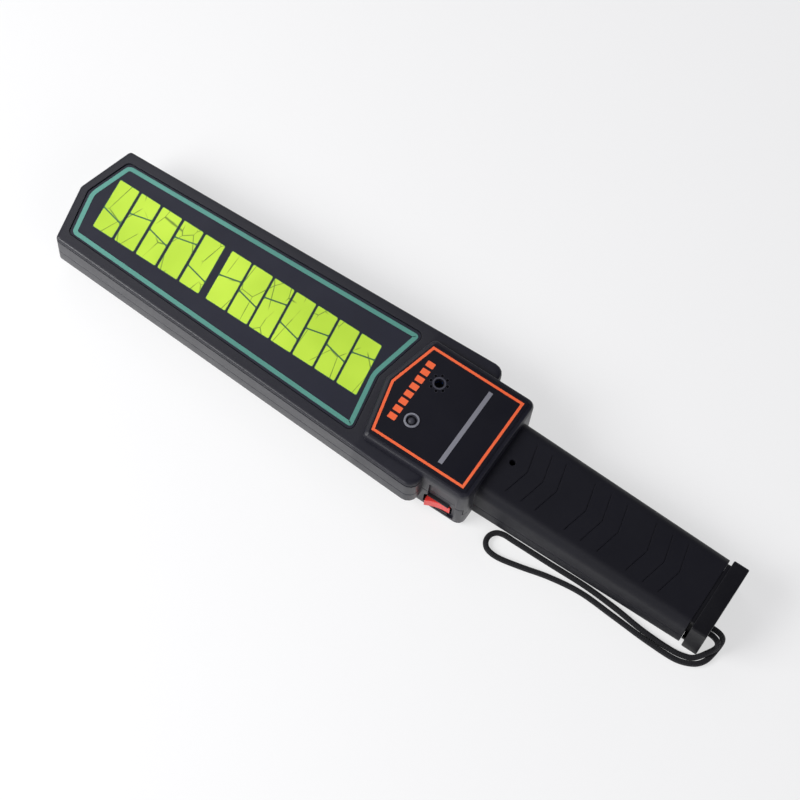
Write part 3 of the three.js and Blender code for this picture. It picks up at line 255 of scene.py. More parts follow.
def moulded(name, dark, light, roughness, grain=GRAIN_SCALE, depth=GRAIN_DEPTH, **constants):
    """Injection-moulded plastic: a spark-eroded grain, faint flow marks and uneven gloss."""
    finish = Finish(name, **constants)
    flow, fine, uneven = moulding_marks(finish, grain)
    finish.set("Base Color", finish.blend(finish.limit(flow, *MIDDLE), dark, light))
    finish.set("Roughness", uneven + roughness)
    finish.bump(fine + flow * FLOW_BUMP, depth)
    return finish


BOX_START = at(206, 0, 0).x
BOX_FADE = 0.002
BOX_COAT_LOSS = 0.22
GRIP_START = at(273, 0, 0).x
GRIP_FADE = 0.001
GRIP_COAT_LOSS = 0.35
GRIP_ROUGHER = 0.18
# How far the grip's colour is darkened towards near black: painted shade
GRIP_PAINTED_SHADE = 0.55
CASING_COAT = 0.72
CASING_ROUGHNESS = 0.44


def casing_plastic():
    """The black plastic of the casing, with a duller grain on the grip, whose colour is also darkened there
    as painted shade.
    """
    finish = Finish("casing_black", specular_ior_level=0.2, coat_roughness=0.42)
    along = finish.axis("X")
    grip_and_painted_shade = finish.limit(along, GRIP_START - GRIP_FADE, GRIP_START)
    box = finish.limit(along, BOX_START, BOX_START + BOX_FADE)
    flow, fine, uneven = moulding_marks(finish)
    plain = finish.blend(finish.limit(flow, *MIDDLE), srgb(18, 18, 27), srgb(23, 23, 33))
    # The grip's colour is darkened towards near black: painted shade where less light falls on the handle
    finish.set("Base Color", finish.blend(grip_and_painted_shade * GRIP_PAINTED_SHADE, plain, srgb(6, 6, 12)))
    finish.set("Coat Weight", CASING_COAT - box * BOX_COAT_LOSS - grip_and_painted_shade * GRIP_COAT_LOSS)
    finish.set("Roughness", uneven + grip_and_painted_shade * GRIP_ROUGHER + CASING_ROUGHNESS)
    finish.bump(fine * (1 + grip_and_painted_shade) + flow * FLOW_BUMP, GRAIN_DEPTH)
    return finish


def printed(name, dark, light, roughness, **constants):
    """Screen-printed ink: nearly flat, with a fine dot grain where the film shows through."""
    finish = Finish(name, **constants)
    speckle = finish.noise(3200, 1)
    drift = finish.limit(finish.noise(14), *MIDDLE)
    finish.set("Base Color", finish.blend(drift * 0.7 + finish.limit(speckle, 0.35, 0.65) * 0.3, dark, light))
    finish.set("Roughness", roughness + finish.limit(speckle, *MIDDLE) * 0.12)
    finish.bump(speckle, 0.00001)
    return finish


CRACK_SCALE = 78
CRACK_WANDER = 0.03
CRACK_RIM = (0.004, 0.022)
CRACKED_PARTS = (0.42, 0.5)


def cracked_ink(name, dark, light, line):
    """The glowing yellow ink, crossed in parts by hair-thin dark cracks."""
    finish = Finish(name)
    sockets = {"Vector": finish.stretched(1, 0.55, 1), "Scale": CRACK_SCALE, "Randomness": 1}
    edge = finish.node("ShaderNodeTexVoronoi", {"feature": "DISTANCE_TO_EDGE"}, sockets)
    line_gap = finish.limit(edge + (finish.noise(90) - 0.5) * CRACK_WANDER, *CRACK_RIM)
    crack = (1 - line_gap) * finish.limit(finish.noise(60, 1), *CRACKED_PARTS)
    ground = finish.blend(finish.limit(finish.noise(24), *MIDDLE), dark, light)
    finish.set("Base Color", finish.blend(crack, ground, line))
    finish.set("Roughness", 0.42 + finish.noise(1500, 1) * 0.1)
    finish.bump(1 - crack, 0.00003)
    return finish


def turned_metal(name, dark, light, roughness):
    """Plated metal with fine drawn lines and dull spots."""
    finish = Finish(name, metallic=1.0)
    lines = finish.noise(900, 3, 0.6, finish.stretched(1, 1, 6))
    spots = finish.noise(140, 3, 0.6)
    finish.set("Base Color", finish.blend(finish.limit(spots, 0.35, 0.7), dark, light))
    finish.set("Roughness", roughness + finish.limit(lines, *MIDDLE) * 0.14)
    finish.bump(lines, 0.00001)
    return finish


def wound_wire(name, dark, light, pitch):
    """Enamelled wire in close turns that run round the coil, level above level."""
    finish = Finish(name, metallic=0.75)
    turns = finish.sum("SINE", finish.axis("Z") * (2 * math.pi / pitch))
    weave = finish.noise(500)
    # Each turn is lighter on its crest and darker in the groove to the next: painted highlight and painted
    # shade
    finish.set("Base Color", finish.blend(finish.limit(turns + weave, -0.5, 1.4), dark, light))
    finish.set("Roughness", 0.3 + weave * 0.2)
    finish.bump(turns, 0.00008)
    return finish


TRACK_SCALE = 260
TRACK_PITCH = 0.12
TRACK_RIM = (0.05, 0.065)


def fibre_board(name, dark, light):
    """Green solder resist over copper tracks, with the weave of the glass beneath."""
    finish = Finish(name)
    settings = {"feature": "F1", "distance": "CHEBYCHEV"}
    sockets = {"Vector": finish.place, "Scale": TRACK_SCALE, "Randomness": 0.35}
    cells = finish.node("ShaderNodeTexVoronoi", settings, sockets, "Distance")
    tracks = finish.limit(finish.sum("PINGPONG", cells, TRACK_PITCH), *TRACK_RIM)
    weave = finish.noise(1600, 1, 0.4, finish.stretched(1, 0.25, 1))
    finish.set("Base Color", finish.blend(tracks * 0.8 + weave * 0.2, dark, light))
    finish.set("Roughness", 0.28 + weave * 0.12)
    finish.bump(tracks + weave * 0.3, 0.00004)
    return finish


STRAND_PAIRS = 4


def braided(name, dark, light, pitch):
    """A braided cord: two sets of strands that cross along it, in the piece's own UV map."""
    finish = Finish(name, sheen_weight=0.12, sheen_roughness=0.5, specular_ior_level=0.3)
    own_map = finish.node("ShaderNodeUVMap", {"uv_map": "UVMap"}, {})
    along = finish.axis("X", own_map) * (2 * math.pi / pitch)
    around = finish.axis("Y", own_map) * (2 * math.pi * STRAND_PAIRS)
    strands = finish.sum("SINE", along + around) * finish.sum("SINE", along - around)
    height = strands * 0.5 + 0.5
    fuzz = finish.noise(2600, 3, 0.6)
    # The colour runs darker where the strands dip and lighter on their crowns: the weave's pattern with
    # painted shade in the gaps
    finish.set("Base Color", finish.blend(finish.limit(height + fuzz * 0.5, 0.1, 1.3), dark, light))
    finish.set("Roughness", 0.78 + fuzz * 0.15)
    finish.bump(height + fuzz * 0.35, 0.00022)
    return finish


FLOOR_GLOW = 0.6


def floor_paper():
    """A pale floor that reads as white to the camera and keeps the object's shadow."""
    finish = Finish("floor_paper", roughness=0.9, specular_ior_level=0.1)
    finish.set("Base Color", finish.blend(finish.noise(3), (0.80, 0.80, 0.80), (0.84, 0.84, 0.84)))
    camera, glossy, through = (finish.node("ShaderNodeLightPath", {}, {}, f"Is {kind} Ray") for kind in (
        "Camera", "Glossy", "Transmission"))
    seen = finish.sum("MAXIMUM", finish.sum("MAXIMUM", camera, glossy), through)
    white = finish.node("ShaderNodeEmission", {}, {"Color": (1, 1, 1), "Strength": 1.0})
    own = Wire(finish, finish.shader.outputs["BSDF"])
    mixed = finish.node("ShaderNodeMixShader", {}, {0: seen * FLOOR_GLOW, 1: own, 2: white})
    finish.feed(finish.output.inputs["Surface"], mixed)
    return finish


# The lamp's middle, and the radius inside which the bezel's funnel is given painted shade, with the width of
# its fade
LAMP = (224.3, -12.9)
LAMP_PAINTED_SHADE = 3.15
LAMP_PAINTED_SHADE_FADE = 0.05


def lamp_ring(name, dark, light, funnel_painted_shade):
    """Satin grey plastic, with painted shade on the funnel inside, told by its distance from the lamp's axis.
    """
    finish = Finish(name, roughness=0.34)
    middle = at(*LAMP, 0)
    x = finish.axis("X") - middle.x
    y = finish.axis("Y") - middle.y
    radius = (x * x + y * y) ** 0.5
    cloud = finish.noise(900)
    plastic = finish.blend(finish.limit(cloud, *MIDDLE), dark, light)
    rim = finish.limit(radius, (LAMP_PAINTED_SHADE - LAMP_PAINTED_SHADE_FADE) * MM, (LAMP_PAINTED_SHADE + LAMP_PAINTED_SHADE_FADE) * MM)
    # Inside the funnel the colour is painted shade
    finish.set("Base Color", finish.blend(rim, funnel_painted_shade, plastic))
    finish.bump(cloud, 0.00002)
    return finish


def smoky_lens(name, dark, light):
    """The clear resin of the unlit lamp, which shows the dark inside of its ring."""
    finish = Finish(name, roughness=0.5, specular_ior_level=0.3)
    depth = finish.noise(700)
    finish.set("Base Color", finish.blend(depth, dark, light))
    finish.bump(depth, 0.00003)
    return finish


JACKET_BAND_END = 371.5
JACKET_BAND_FADE = 0.2


def battery_jacket(name, copper, black, worn):
    """The printed metal jacket of a battery: copper at one end, then black, both a little scuffed."""
    finish = Finish(name, roughness=0.34)
    band_end = at(JACKET_BAND_END, 0, 0).x
    band = finish.limit(finish.axis("X"), band_end, band_end + JACKET_BAND_FADE * MM)
    scuffs = finish.noise(420, 4, 0.6)
    scuffed = finish.limit(scuffs, 0.62, 0.8) * 0.4
    finish.set("Base Color", finish.blend(scuffed, finish.blend(band, copper, black), worn))
    finish.bump(scuffs, 0.00002)
    return finish


casing_black = casing_plastic()
cap_black = moulded("cap_black", srgb(8, 8, 13), srgb(13, 13, 19), 0.5, specular_ior_level=0.3)
head_film = moulded("head_film", srgb(24, 25, 38), srgb(29, 30, 44), 0.44, grain=4200, depth=0.00001,
                    specular_ior_level=0.4)
panel_film = moulded("panel_film", srgb(11, 11, 20), srgb(15, 15, 25), 0.42, grain=4200, depth=0.00001,
                     specular_ior_level=0.25)
# The last colour is painted shade for the funnel inside the bezel
ring_grey = lamp_ring("ring_grey", srgb(108, 109, 117), srgb(126, 127, 135), srgb(46, 46, 54))
rocker_red = moulded("rocker_red", srgb(206, 44, 40), srgb(224, 60, 54), 0.32, depth=0.00001)
small_black = moulded("small_black", srgb(20, 20, 23), srgb(30, 30, 34), 0.5)
small_blue = moulded("small_blue", srgb(30, 78, 160), srgb(44, 98, 188), 0.4, depth=0.00002)
nylon_white = moulded("nylon_white", srgb(206, 205, 198), srgb(222, 221, 214), 0.48, depth=0.00002)
teal_ink = printed("teal_ink", srgb(70, 128, 116), srgb(92, 156, 143), 0.40)
orange_ink = printed("orange_ink", srgb(228, 90, 44), srgb(242, 108, 62), 0.38)
green_ink = printed("green_ink", srgb(52, 92, 60), srgb(70, 120, 74), 0.42)
scale_ink = printed("scale_ink", srgb(50, 50, 60), srgb(62, 62, 72), 0.42)
dot_ink = printed("dot_ink", srgb(1, 1, 2), srgb(3, 3, 5), 0.6, specular_ior_level=0.05)
grey_ink = printed("grey_ink", srgb(112, 112, 120), srgb(134, 134, 142), 0.36)
yellow_ink = cracked_ink("yellow_ink", srgb(176, 212, 52), srgb(196, 230, 66), srgb(112, 142, 44))
resist_green = fibre_board("resist_green", srgb(14, 74, 40), srgb(34, 112, 60))
copper_wire = wound_wire("copper_wire", srgb(120, 62, 30), srgb(196, 120, 66), 0.0007)
plated_steel = turned_metal("plated_steel", srgb(138, 139, 145), srgb(186, 187, 192), 0.26)
turned_brass = turned_metal("turned_brass", srgb(168, 128, 62), srgb(214, 172, 92), 0.26)
strap_braid = braided("strap_braid", srgb(6, 6, 8), srgb(24, 24, 29), 0.0026)
wire_black = moulded("wire_black", srgb(18, 18, 20), srgb(26, 26, 29), 0.42, depth=0.00001)
wire_red = moulded("wire_red", srgb(170, 24, 24), srgb(198, 34, 32), 0.42, depth=0.00001)
wire_white = moulded("wire_white", srgb(208, 207, 202), srgb(224, 223, 219), 0.42, depth=0.00001)

lamp_lens = smoky_lens("lamp_lens", srgb(44, 44, 52), srgb(58, 58, 66))
battery_wrap = battery_jacket("battery_wrap", srgb(170, 132, 60), srgb(30, 32, 38), srgb(150, 150, 150))


# Pieces

CAD_WELD = 2e-6
FORM_WELD = 1e-7

# Angles in degrees: faces this near to flat are one face, and edges that turn by more are real edges
FLAT = 0.6
CAD_SHARP = 32
ROUNDED_SHARP = 34
WIRE_END = 70


def in_scene(name, mesh, body, slot, finish, *nodes):
    """Puts a mesh in the scene as a piece on a body, in place of the CAD nodes that it stands for."""
    piece = bpy.data.objects.new(name, mesh)
    bpy.context.scene.collection.objects.link(piece)
    mesh.materials.clear()
    mesh.materials.append(finish.material)
    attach(piece, body)
    if nodes:
        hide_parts(*nodes)
    return piece


def ended(name, form):
    """Turns a bmesh into a mesh and lets the bmesh go."""
    mesh = bpy.data.meshes.new(name)
    form.to_mesh(mesh)
    form.free()
    return mesh


def mark_edges(form, sharp):
    """Smooth shading everywhere but over the edges that turn by more than an angle in degrees."""
    for face in form.faces:
        face.smooth = True
    for edge in form.edges:
        edge.smooth = len(edge.link_faces) == 2 and edge.calc_face_angle(0) < math.radians(sharp)


def mesh_of(name, form, sharp=35):
    """Ends a bmesh: normals outwards, smooth shading with its real edges kept sharp."""
    bmesh.ops.remove_doubles(form, verts=form.verts, dist=FORM_WELD)
    bmesh.ops.recalc_face_normals(form, faces=form.faces)
    mark_edges(form, sharp)
    return ended(name, form)


def new_verts(grown):
    """The corners among what an extrusion made."""
    return [item for item in grown["geom"] if isinstance(item, bmesh.types.BMVert)]


def merged(*nodes):
    """A copy of CAD nodes, with the corners of their triangles joined."""
    form = bmesh.new()
    for node in nodes:
        form.from_mesh(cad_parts[node].data)
    bmesh.ops.remove_doubles(form, verts=form.verts, dist=CAD_WELD)
    return form


def whole(*nodes):
    """A merged copy of CAD nodes, with their flat faces made whole."""
    form = merged(*nodes)
    bmesh.ops.dissolve_limit(form, angle_limit=math.radians(FLAT), verts=form.verts, edges=form.edges)
    form.normal_update()
    return form


def refined(node):
    """A merged copy of a CAD node without its slivers."""
    form = merged(node)
    bmesh.ops.dissolve_degenerate(form, edges=form.edges, dist=CAD_WELD / 2)
    mark_edges(form, CAD_SHARP)
    return ended(node, form)


def carved(mesh, cutter):
    """Cuts a bmesh of closed shapes that don't cross each other out of a mesh."""
    body = bpy.data.objects.new("carved", mesh)
    tool = bpy.data.objects.new("tool", ended("cutter", cutter))
    for item in (body, tool):
        bpy.context.scene.collection.objects.link(item)
    modifier = body.modifiers.new("carve", "BOOLEAN")
    modifier.operation = "DIFFERENCE"
    modifier.solver = "EXACT"
    modifier.object = tool
    result = bpy.data.meshes.new_from_object(body.evaluated_get(bpy.context.evaluated_depsgraph_get()))
    for item in (body, tool):
        bpy.data.objects.remove(item)
    form = bmesh.new()
    form.from_mesh(result)
    mark_edges(form, CAD_SHARP)
    return ended(mesh.name, form)


def weighted(piece):
    """Keeps the shading of large faces flat beside their rounded rims."""
    modifier = piece.modifiers.new("even_shading", "WEIGHTED_NORMAL")
    modifier.keep_sharp = True
    return piece


# Nine thin V-shaped grooves are cut in the handle's sloping top, each with a slope behind it.
HANDLE_FRONT = (272.0, 33.0)
HANDLE_REAR = (399.0, 28.8)
CHEVRON_TIPS = [288.0, 297.4, 306.0, 323.9, 333.8, 343.8, 361.2, 371.4, 380.7]
CHEVRON_HALF_WIDTH = 15.5
CHEVRON_SWEEP = 3.75
CHEVRON_LINE = 0.2
CHEVRON_SLOPE = 0.42
CHEVRON_DEPTH = 0.35
CUTTER_DEPTHS = 3
SAME_PLACE = 0.01


def handle_top(x):
    """The height of the handle's top at a distance from the tip."""
    share = (x - HANDLE_FRONT[0]) / (HANDLE_REAR[0] - HANDLE_FRONT[0])
    return HANDLE_FRONT[1] + share * (HANDLE_REAR[1] - HANDLE_FRONT[1])


def chevron_cutter():
    """Nine V-shaped bars, whose rear sides lean back as they rise."""
    form = bmesh.new()
    rear = []
    for tip in CHEVRON_TIPS:
        back = tip - CHEVRON_SWEEP
        corners = [
            (back, -CHEVRON_HALF_WIDTH),
            (back + CHEVRON_LINE, -CHEVRON_HALF_WIDTH),
            (tip + CHEVRON_LINE, 0),
            (back + CHEVRON_LINE, CHEVRON_HALF_WIDTH),
            (back, CHEVRON_HALF_WIDTH),
            (tip, 0),
        ]
        places = [at(x, y, handle_top(x) - CHEVRON_DEPTH) for x, y in corners]
        form.faces.new([form.verts.new(place) for place in places])
        rear += places[1:4]
    top = new_verts(bmesh.ops.extrude_face_region(form, geom=form.faces[:], use_keep_orig=True))
    top_rear = [v for v in top if any((v.co - place).length < SAME_PLACE * MM for place in rear)]
    bmesh.ops.translate(form, verts=top, vec=(0, 0, CUTTER_DEPTHS * CHEVRON_DEPTH * MM))
    bmesh.ops.translate(form, verts=top_rear, vec=(CUTTER_DEPTHS * CHEVRON_SLOPE * MM, 0, 0))
    bmesh.ops.recalc_face_normals(form, faces=form.faces)
    return form


CASING = ["upper_shell", "lower_shell", "battery_cap"]
CASE_SCREWS = [f"case_screw_{n}" for n in range(1, 6)]
BOARD_SCREWS = [f"board_screw_{n}" for n in range(1, 5)]
BESIDE_SCREW = 3.4
SEAM_STEP = at(270.9, 0, 16.9)
SEAM_STEP_HALF = (0.8, 3.4)
RAY_START = 0.05

casing_tree = BVHTree.FromBMesh(whole(*CASING))
screw_middles = [sum(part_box(node), Vector()) / 2 for node in CASE_SCREWS]


def beside_screw(place):
    """Tells the rims of the holes for the case screws."""
    return any((place - middle).xy.length < BESIDE_SCREW * MM for middle in screw_middles)


def at_seam_step(place):
    """Tells the upright joint where the seam steps down at the box's rear corners."""
    across, up = SEAM_STEP_HALF
    return abs(place.x - SEAM_STEP.x) < across * MM and abs(place.z - SEAM_STEP.z) < up * MM


def outer_rims(form, node, sharp):
    """The ridges of a piece that look out on open air.

    The casing's three parts hide each other's inner rims. The rims of the holes for the case screws
    stay sharp, because they lie too near the casing's sides, and so does the step in the seam.
    """
    tree = casing_tree if node in CASING else BVHTree.FromBMesh(form)
    for edge in form.edges:
        if not edge.is_convex or edge.calc_face_angle(0) < math.radians(sharp):
            continue
        outward = (edge.link_faces[0].normal + edge.link_faces[1].normal).normalized()
        middle = (edge.verts[0].co + edge.verts[1].co) / 2
        if tree.ray_cast(middle + outward * RAY_START * MM, outward)[0]:
            continue
        if not (node in CASING and (beside_screw(middle) or at_seam_step(middle))):
            yield edge


def rounded(node, width, sharp=50):
    """A piece with its outer rims rounded."""
    form = whole(node)
    rims = list(outer_rims(form, node, sharp))
    bmesh.ops.bevel(form, geom=rims, offset=width * MM, affect="EDGES", segments=2, profile=0.5, material=-1,
                    clamp_overlap=False)
    bmesh.ops.triangulate(form, faces=[face for face in form.faces if len(face.verts) > 4])
    return mesh_of(node, form, ROUNDED_SHARP)


def round_lead(node):
    """A wire's own faces in pairs, its cut ends creased so that they stay flat."""
    form = whole(node)
    bmesh.ops.join_triangles(form, faces=form.faces, angle_face_threshold=0.7, angle_shape_threshold=3.1)
    crease = form.edges.layers.float.new("crease_edge")
    for edge in form.edges:
        edge[crease] = float(edge.calc_face_angle(0) > math.radians(WIRE_END))
    return mesh_of(node, form, 180)


def rounder(piece):
    """Smooths a wire's faceted sides round."""
    modifier = piece.modifiers.new("round_sides", "SUBSURF")
    modifier.levels = modifier.render_levels = 2
    return piece


SHELL_ROUND = 0.25
UPPER_SHARP = 40

# The slot, the rounding of the rims in millimetres and the nodes that each finish is for
ROUNDED_PIECES = {
    cap_black: ("casing_plastic", 0.5, ["battery_cap"]),
    small_black: ("black_plastic", 0.2, ["sensitivity_screw", "signal_chip", "sound_chip", "sounder",
                                         "switch_housing", "battery_snap"]),
    small_blue: ("blue_plastic", 0.3, ["sensitivity_trimmer"]),
    nylon_white: ("white_nylon", 0.3, ["coil_socket", "lead_socket", "coil_carrier"]),
    resist_green: ("board_laminate", 0.15, ["circuit_board"]),
    copper_wire: ("coil_wire", 0.3, ["transmit_coil", "receive_coil"]),
    plated_steel: ("steel", 0.3, ["vibration_motor"]),
    turned_brass: ("brass_metal", 0.2, ["eccentric_weight"]),
    battery_wrap: ("battery_jacket", 0.8, ["battery"]),
}
# The flat printed plates, whose edges lie in their recesses
PLATES = {
    head_film: ("head_plate", "head_label"),
    panel_film: ("panel_plate", "panel_label"),
}
LEADS = {
    wire_black: ("wire_insulation_black", ["coil_lead", "sounder_lead", "battery_lead_minus"]),
    wire_red: ("wire_insulation_red", ["battery_lead_plus"]),
    wire_white: ("wire_insulation_white", ["motor_lead", "switch_lead"]),
}
BODY_OF = {"battery_cap": "end_cap", "sensitivity_screw": "trimmer_screw", "eccentric_weight": "motor_weight"}

upper_shell = carved(rounded("upper_shell", SHELL_ROUND, UPPER_SHARP), chevron_cutter())
lower_shell = rounded("lower_shell", SHELL_ROUND)
for node, shell in (("upper_shell", upper_shell), ("lower_shell", lower_shell)):
    weighted(in_scene(f"{node}_skin", shell, "casing", "casing_plastic", casing_black, node))
for finish, (slot, node) in PLATES.items():
    weighted(in_scene(f"{node}_skin", refined(node), "casing", slot, finish, node))
for finish, (slot, rim, nodes) in ROUNDED_PIECES.items():
    for node in nodes:
        body = BODY_OF.get(node, "casing")
        weighted(in_scene(f"{node}_skin", rounded(node, rim), body, slot, finish, node))
for finish, (slot, nodes) in LEADS.items():
    for node in nodes:
        rounder(in_scene(f"{node}_skin", round_lead(node), "casing", slot, finish, node))


# The red rocker: a rounded bar with a hollow across its face, on two short pins

ROCKER_PIVOT = at(256.4, -32.6, 10.1)
ROCKER_THROW = math.radians(15)
ROCKER_HALF_LENGTH = 7.2
ROCKER_HALF_HEIGHT = 3.5
ROCKER_WAIST = 6.6
ROCKER_FOOT = 2.9
ROCKER_DROP = 3.2
ROCKER_END_RISE = 2.6
ROCKER_VALLEY_RISE = 1.6
ROCKER_STEPS = 12
ROCKER_EDGE = 0.55
ROCKER_PIN_RADIUS = 0.9
ROCKER_PIN_LENGTH = 0.7
ROCKER_PIN_STEPS = 24


def rocker_face():
    """The hollow face from end to end, then the sides that draw in to the foot."""
    face = []
    for i in range(ROCKER_STEPS + 1):
        across = 2 * i / ROCKER_STEPS - 1
        rise = ROCKER_VALLEY_RISE + (ROCKER_END_RISE - ROCKER_VALLEY_RISE) * across**2
        face.append((across * ROCKER_HALF_LENGTH, -rise))
    side = [(ROCKER_WAIST, ROCKER_DROP / 3), (ROCKER_FOOT, ROCKER_DROP)]
    return face + side + [(-x, y) for x, y in reversed(side)]


def rocker_pins(form):
    for side in (-1, 1):
        height = side * (ROCKER_HALF_HEIGHT + ROCKER_PIN_LENGTH / 2)
        bmesh.ops.create_cone(form, cap_ends=True, segments=ROCKER_PIN_STEPS, radius1=ROCKER_PIN_RADIUS * MM,
                              radius2=ROCKER_PIN_RADIUS * MM, depth=ROCKER_PIN_LENGTH * MM,
                              matrix=Matrix.Translation((0, 0, height * MM)))


def red_rocker():
    form = bmesh.new()
    corners = [Vector((x, y, -ROCKER_HALF_HEIGHT)) * MM for x, y in rocker_face()]
    base = form.faces.new([form.verts.new(corner) for corner in corners])
    top = new_verts(bmesh.ops.extrude_face_region(form, geom=[base], use_keep_orig=True))
    bmesh.ops.translate(form, verts=top, vec=(0, 0, 2 * ROCKER_HALF_HEIGHT * MM))
    bmesh.ops.recalc_face_normals(form, faces=form.faces)
    rims = [edge for edge in form.edges if edge.calc_face_angle(0) > math.radians(25)]
    bmesh.ops.bevel(form, geom=rims, offset=ROCKER_EDGE * MM, affect="EDGES", segments=3, profile=0.5,
                    material=-1)
    rocker_pins(form)
    turn = Matrix.Translation(ROCKER_PIVOT) @ Matrix.Rotation(ROCKER_THROW, 4, "Z")
    bmesh.ops.transform(form, verts=form.verts, matrix=turn)
    mesh = mesh_of("red_rocker", form, 40)
    weighted(in_scene("red_rocker", mesh, "rocker", "red_plastic", rocker_red, "switch_rocker"))


red_rocker()


# Turned pieces: half sections spun once round an upright axis


def quarter(radius, height, size, start=0, steps=4):
    """A quarter circle about a point of the section, anticlockwise from an angle in degrees."""
    angles = [math.radians(start + 90 * i / steps) for i in range(steps + 1)]
    return [(radius + size * math.cos(a), height + size * math.sin(a)) for a in angles]


def spun(form, middle, section, steps=48):
    """Spins a section of (radius, height) pairs; one that misses the axis closes on itself."""
    centre = at(*middle, 0)
    corners = [form.verts.new(centre + Vector((radius, 0, height)) * MM) for radius, height in section]
    edges = [form.edges.new(pair) for pair in zip(corners, corners[1:])]
    if section[0][0] > 0:
        edges.append(form.edges.new((corners[-1], corners[0])))
    bmesh.ops.spin(form, geom=corners + edges, cent=centre, axis=(0, 0, 1), angle=2 * math.pi, steps=steps,
                   use_merge=True)


# The alarm lamp: a smoky dome on a flange, two legs down to the board, and a grey bezel
LAMP_BASE = 33.4
LAMP_TOP = 39.1
LAMP_RADIUS = 2.4
LAMP_DOME_STEPS = 10
FLANGE_RADIUS = 2.9
FLANGE_THICK = 1.0
FLANGE_CHAMFER = 0.15
LEG_SPACING = 2.54
LEG_THICK = 0.5
LEG_LOW = 27.9
LEG_EDGE = 0.08
BEZEL_LOW = 34.7
BEZEL_SEAT = 38.5
BEZEL_RADIUS = 4.2
BEZEL_BARREL = 3.5
BEZEL_BORE = 2.65
BEZEL_LIP = 3.2
BEZEL_ROUND = 0.3
FUNNEL_RIM = (0.1, 0.12)
FUNNEL_FOOT = (0.05, 0.1)
BEZEL_STEPS = 64


def lamp_dome():
    form = bmesh.new()
    rim = LAMP_BASE + FLANGE_THICK
    section = [
        (0, LAMP_BASE),
        (FLANGE_RADIUS - FLANGE_CHAMFER, LAMP_BASE),
        (FLANGE_RADIUS, LAMP_BASE + FLANGE_CHAMFER),
        (FLANGE_RADIUS, rim - FLANGE_CHAMFER),
        (FLANGE_RADIUS - FLANGE_CHAMFER, rim),
        (LAMP_RADIUS, rim),
        *quarter(0, LAMP_TOP - LAMP_RADIUS, LAMP_RADIUS, steps=LAMP_DOME_STEPS),
    ]
    spun(form, LAMP, section)
    mesh = mesh_of("alarm_lamp_dome", form)
    weighted(in_scene("alarm_lamp_dome", mesh, "casing", "lamp_resin", lamp_lens, "alarm_led"))


def lamp_legs():
    form = bmesh.new()
    size = Matrix.Diagonal((LEG_THICK * MM, LEG_THICK * MM, (LAMP_BASE - LEG_LOW) * MM, 1))
    for side in (-1, 1):
        middle = at(LAMP[0] + side * LEG_SPACING / 2, LAMP[1], (LEG_LOW + LAMP_BASE) / 2)
        bmesh.ops.create_cube(form, size=1, matrix=Matrix.Translation(middle) @ size)
    bmesh.ops.bevel(form, geom=form.edges[:], offset=LEG_EDGE * MM, affect="EDGES", segments=2, profile=0.5,
                    material=-1)
    mesh = mesh_of("alarm_lamp_legs", form)
    weighted(in_scene("alarm_lamp_legs", mesh, "casing", "steel", plated_steel))


def lamp_bezel():
    """A ring whose lip falls in a shallow funnel to the bore."""
    form = bmesh.new()
    section = [
        (BEZEL_BORE, BEZEL_LOW),
        (BEZEL_BARREL, BEZEL_LOW),
        (BEZEL_BARREL, BEZEL_SEAT),
        (BEZEL_RADIUS, BEZEL_SEAT),
        *quarter(BEZEL_RADIUS - BEZEL_ROUND, LAMP_TOP - BEZEL_ROUND, BEZEL_ROUND),
        (BEZEL_LIP, LAMP_TOP),
        (BEZEL_LIP - FUNNEL_RIM[0], LAMP_TOP - FUNNEL_RIM[1]),
        (BEZEL_BORE + FUNNEL_FOOT[0], BEZEL_SEAT),
        (BEZEL_BORE, BEZEL_SEAT - FUNNEL_FOOT[1]),
    ]
    spun(form, LAMP, section, BEZEL_STEPS)
    mesh = mesh_of("lamp_bezel_ring", form)
    weighted(in_scene("lamp_bezel_ring", mesh, "casing", "grey_plastic", ring_grey, "led_bezel"))


lamp_dome()
lamp_legs()
lamp_bezel()


# Two blue cans stand on the board, each in a sleeve with a crimped rim and a top sunk a little in its middle
CAN_ROUND = 0.35
CAN_FOOT = 0.2
CAN_CRIMP = 1.2
CAN_CRIMP_HALF = 0.35
CAN_CRIMP_DEPTH = 0.25
CAN_LIP = 0.8
CAN_LIP_DROP = 0.1


def capacitor(node):
    low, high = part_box(node)
    middle = (((low.x + high.x) / 2 - TIP) / MM, (low.y + high.y) / 2 / MM)
    bottom, top, radius = low.z / MM, high.z / MM, (high.x - low.x) / 2 / MM
    section = [
        (0, bottom),
        (radius - CAN_FOOT, bottom),
        (radius, bottom + CAN_FOOT),
        (radius, bottom + CAN_CRIMP - CAN_CRIMP_HALF),
        (radius - CAN_CRIMP_DEPTH, bottom + CAN_CRIMP),
        (radius, bottom + CAN_CRIMP + CAN_CRIMP_HALF),
        *quarter(radius - CAN_ROUND, top - CAN_ROUND, CAN_ROUND),
        (radius - CAN_LIP, top),
        (radius - CAN_LIP - CAN_LIP_DROP, top - CAN_LIP_DROP),
        (0, top - CAN_LIP_DROP),
    ]
    form = bmesh.new()
    spun(form, middle, section)
    weighted(in_scene(f"{node}_can", mesh_of(node, form), "casing", "blue_plastic", small_blue, node))


for node in ("capacitor_1", "capacitor_2"):
    capacitor(node)


# Self-tapping screws: a pan head with a cross recess, and a thread that runs out to a blunt tip
CASE_SCREW = {"head_radius": 2.6, "head_height": 1.6, "shank": 1.2, "pitch": 1.0}
BOARD_SCREW = {"head_radius": 1.9, "head_height": 1.3, "shank": 0.9, "pitch": 0.8}
HANDLE_SCREW = {"head_radius": 1.4, "head_height": 1.2, "shank": 1.0, "pitch": 0.8}
SCREW_STEPS = 32
RECESS_DEPTH = 0.8
THREAD_START = 0.4
NECK_HEIGHT = 0.25

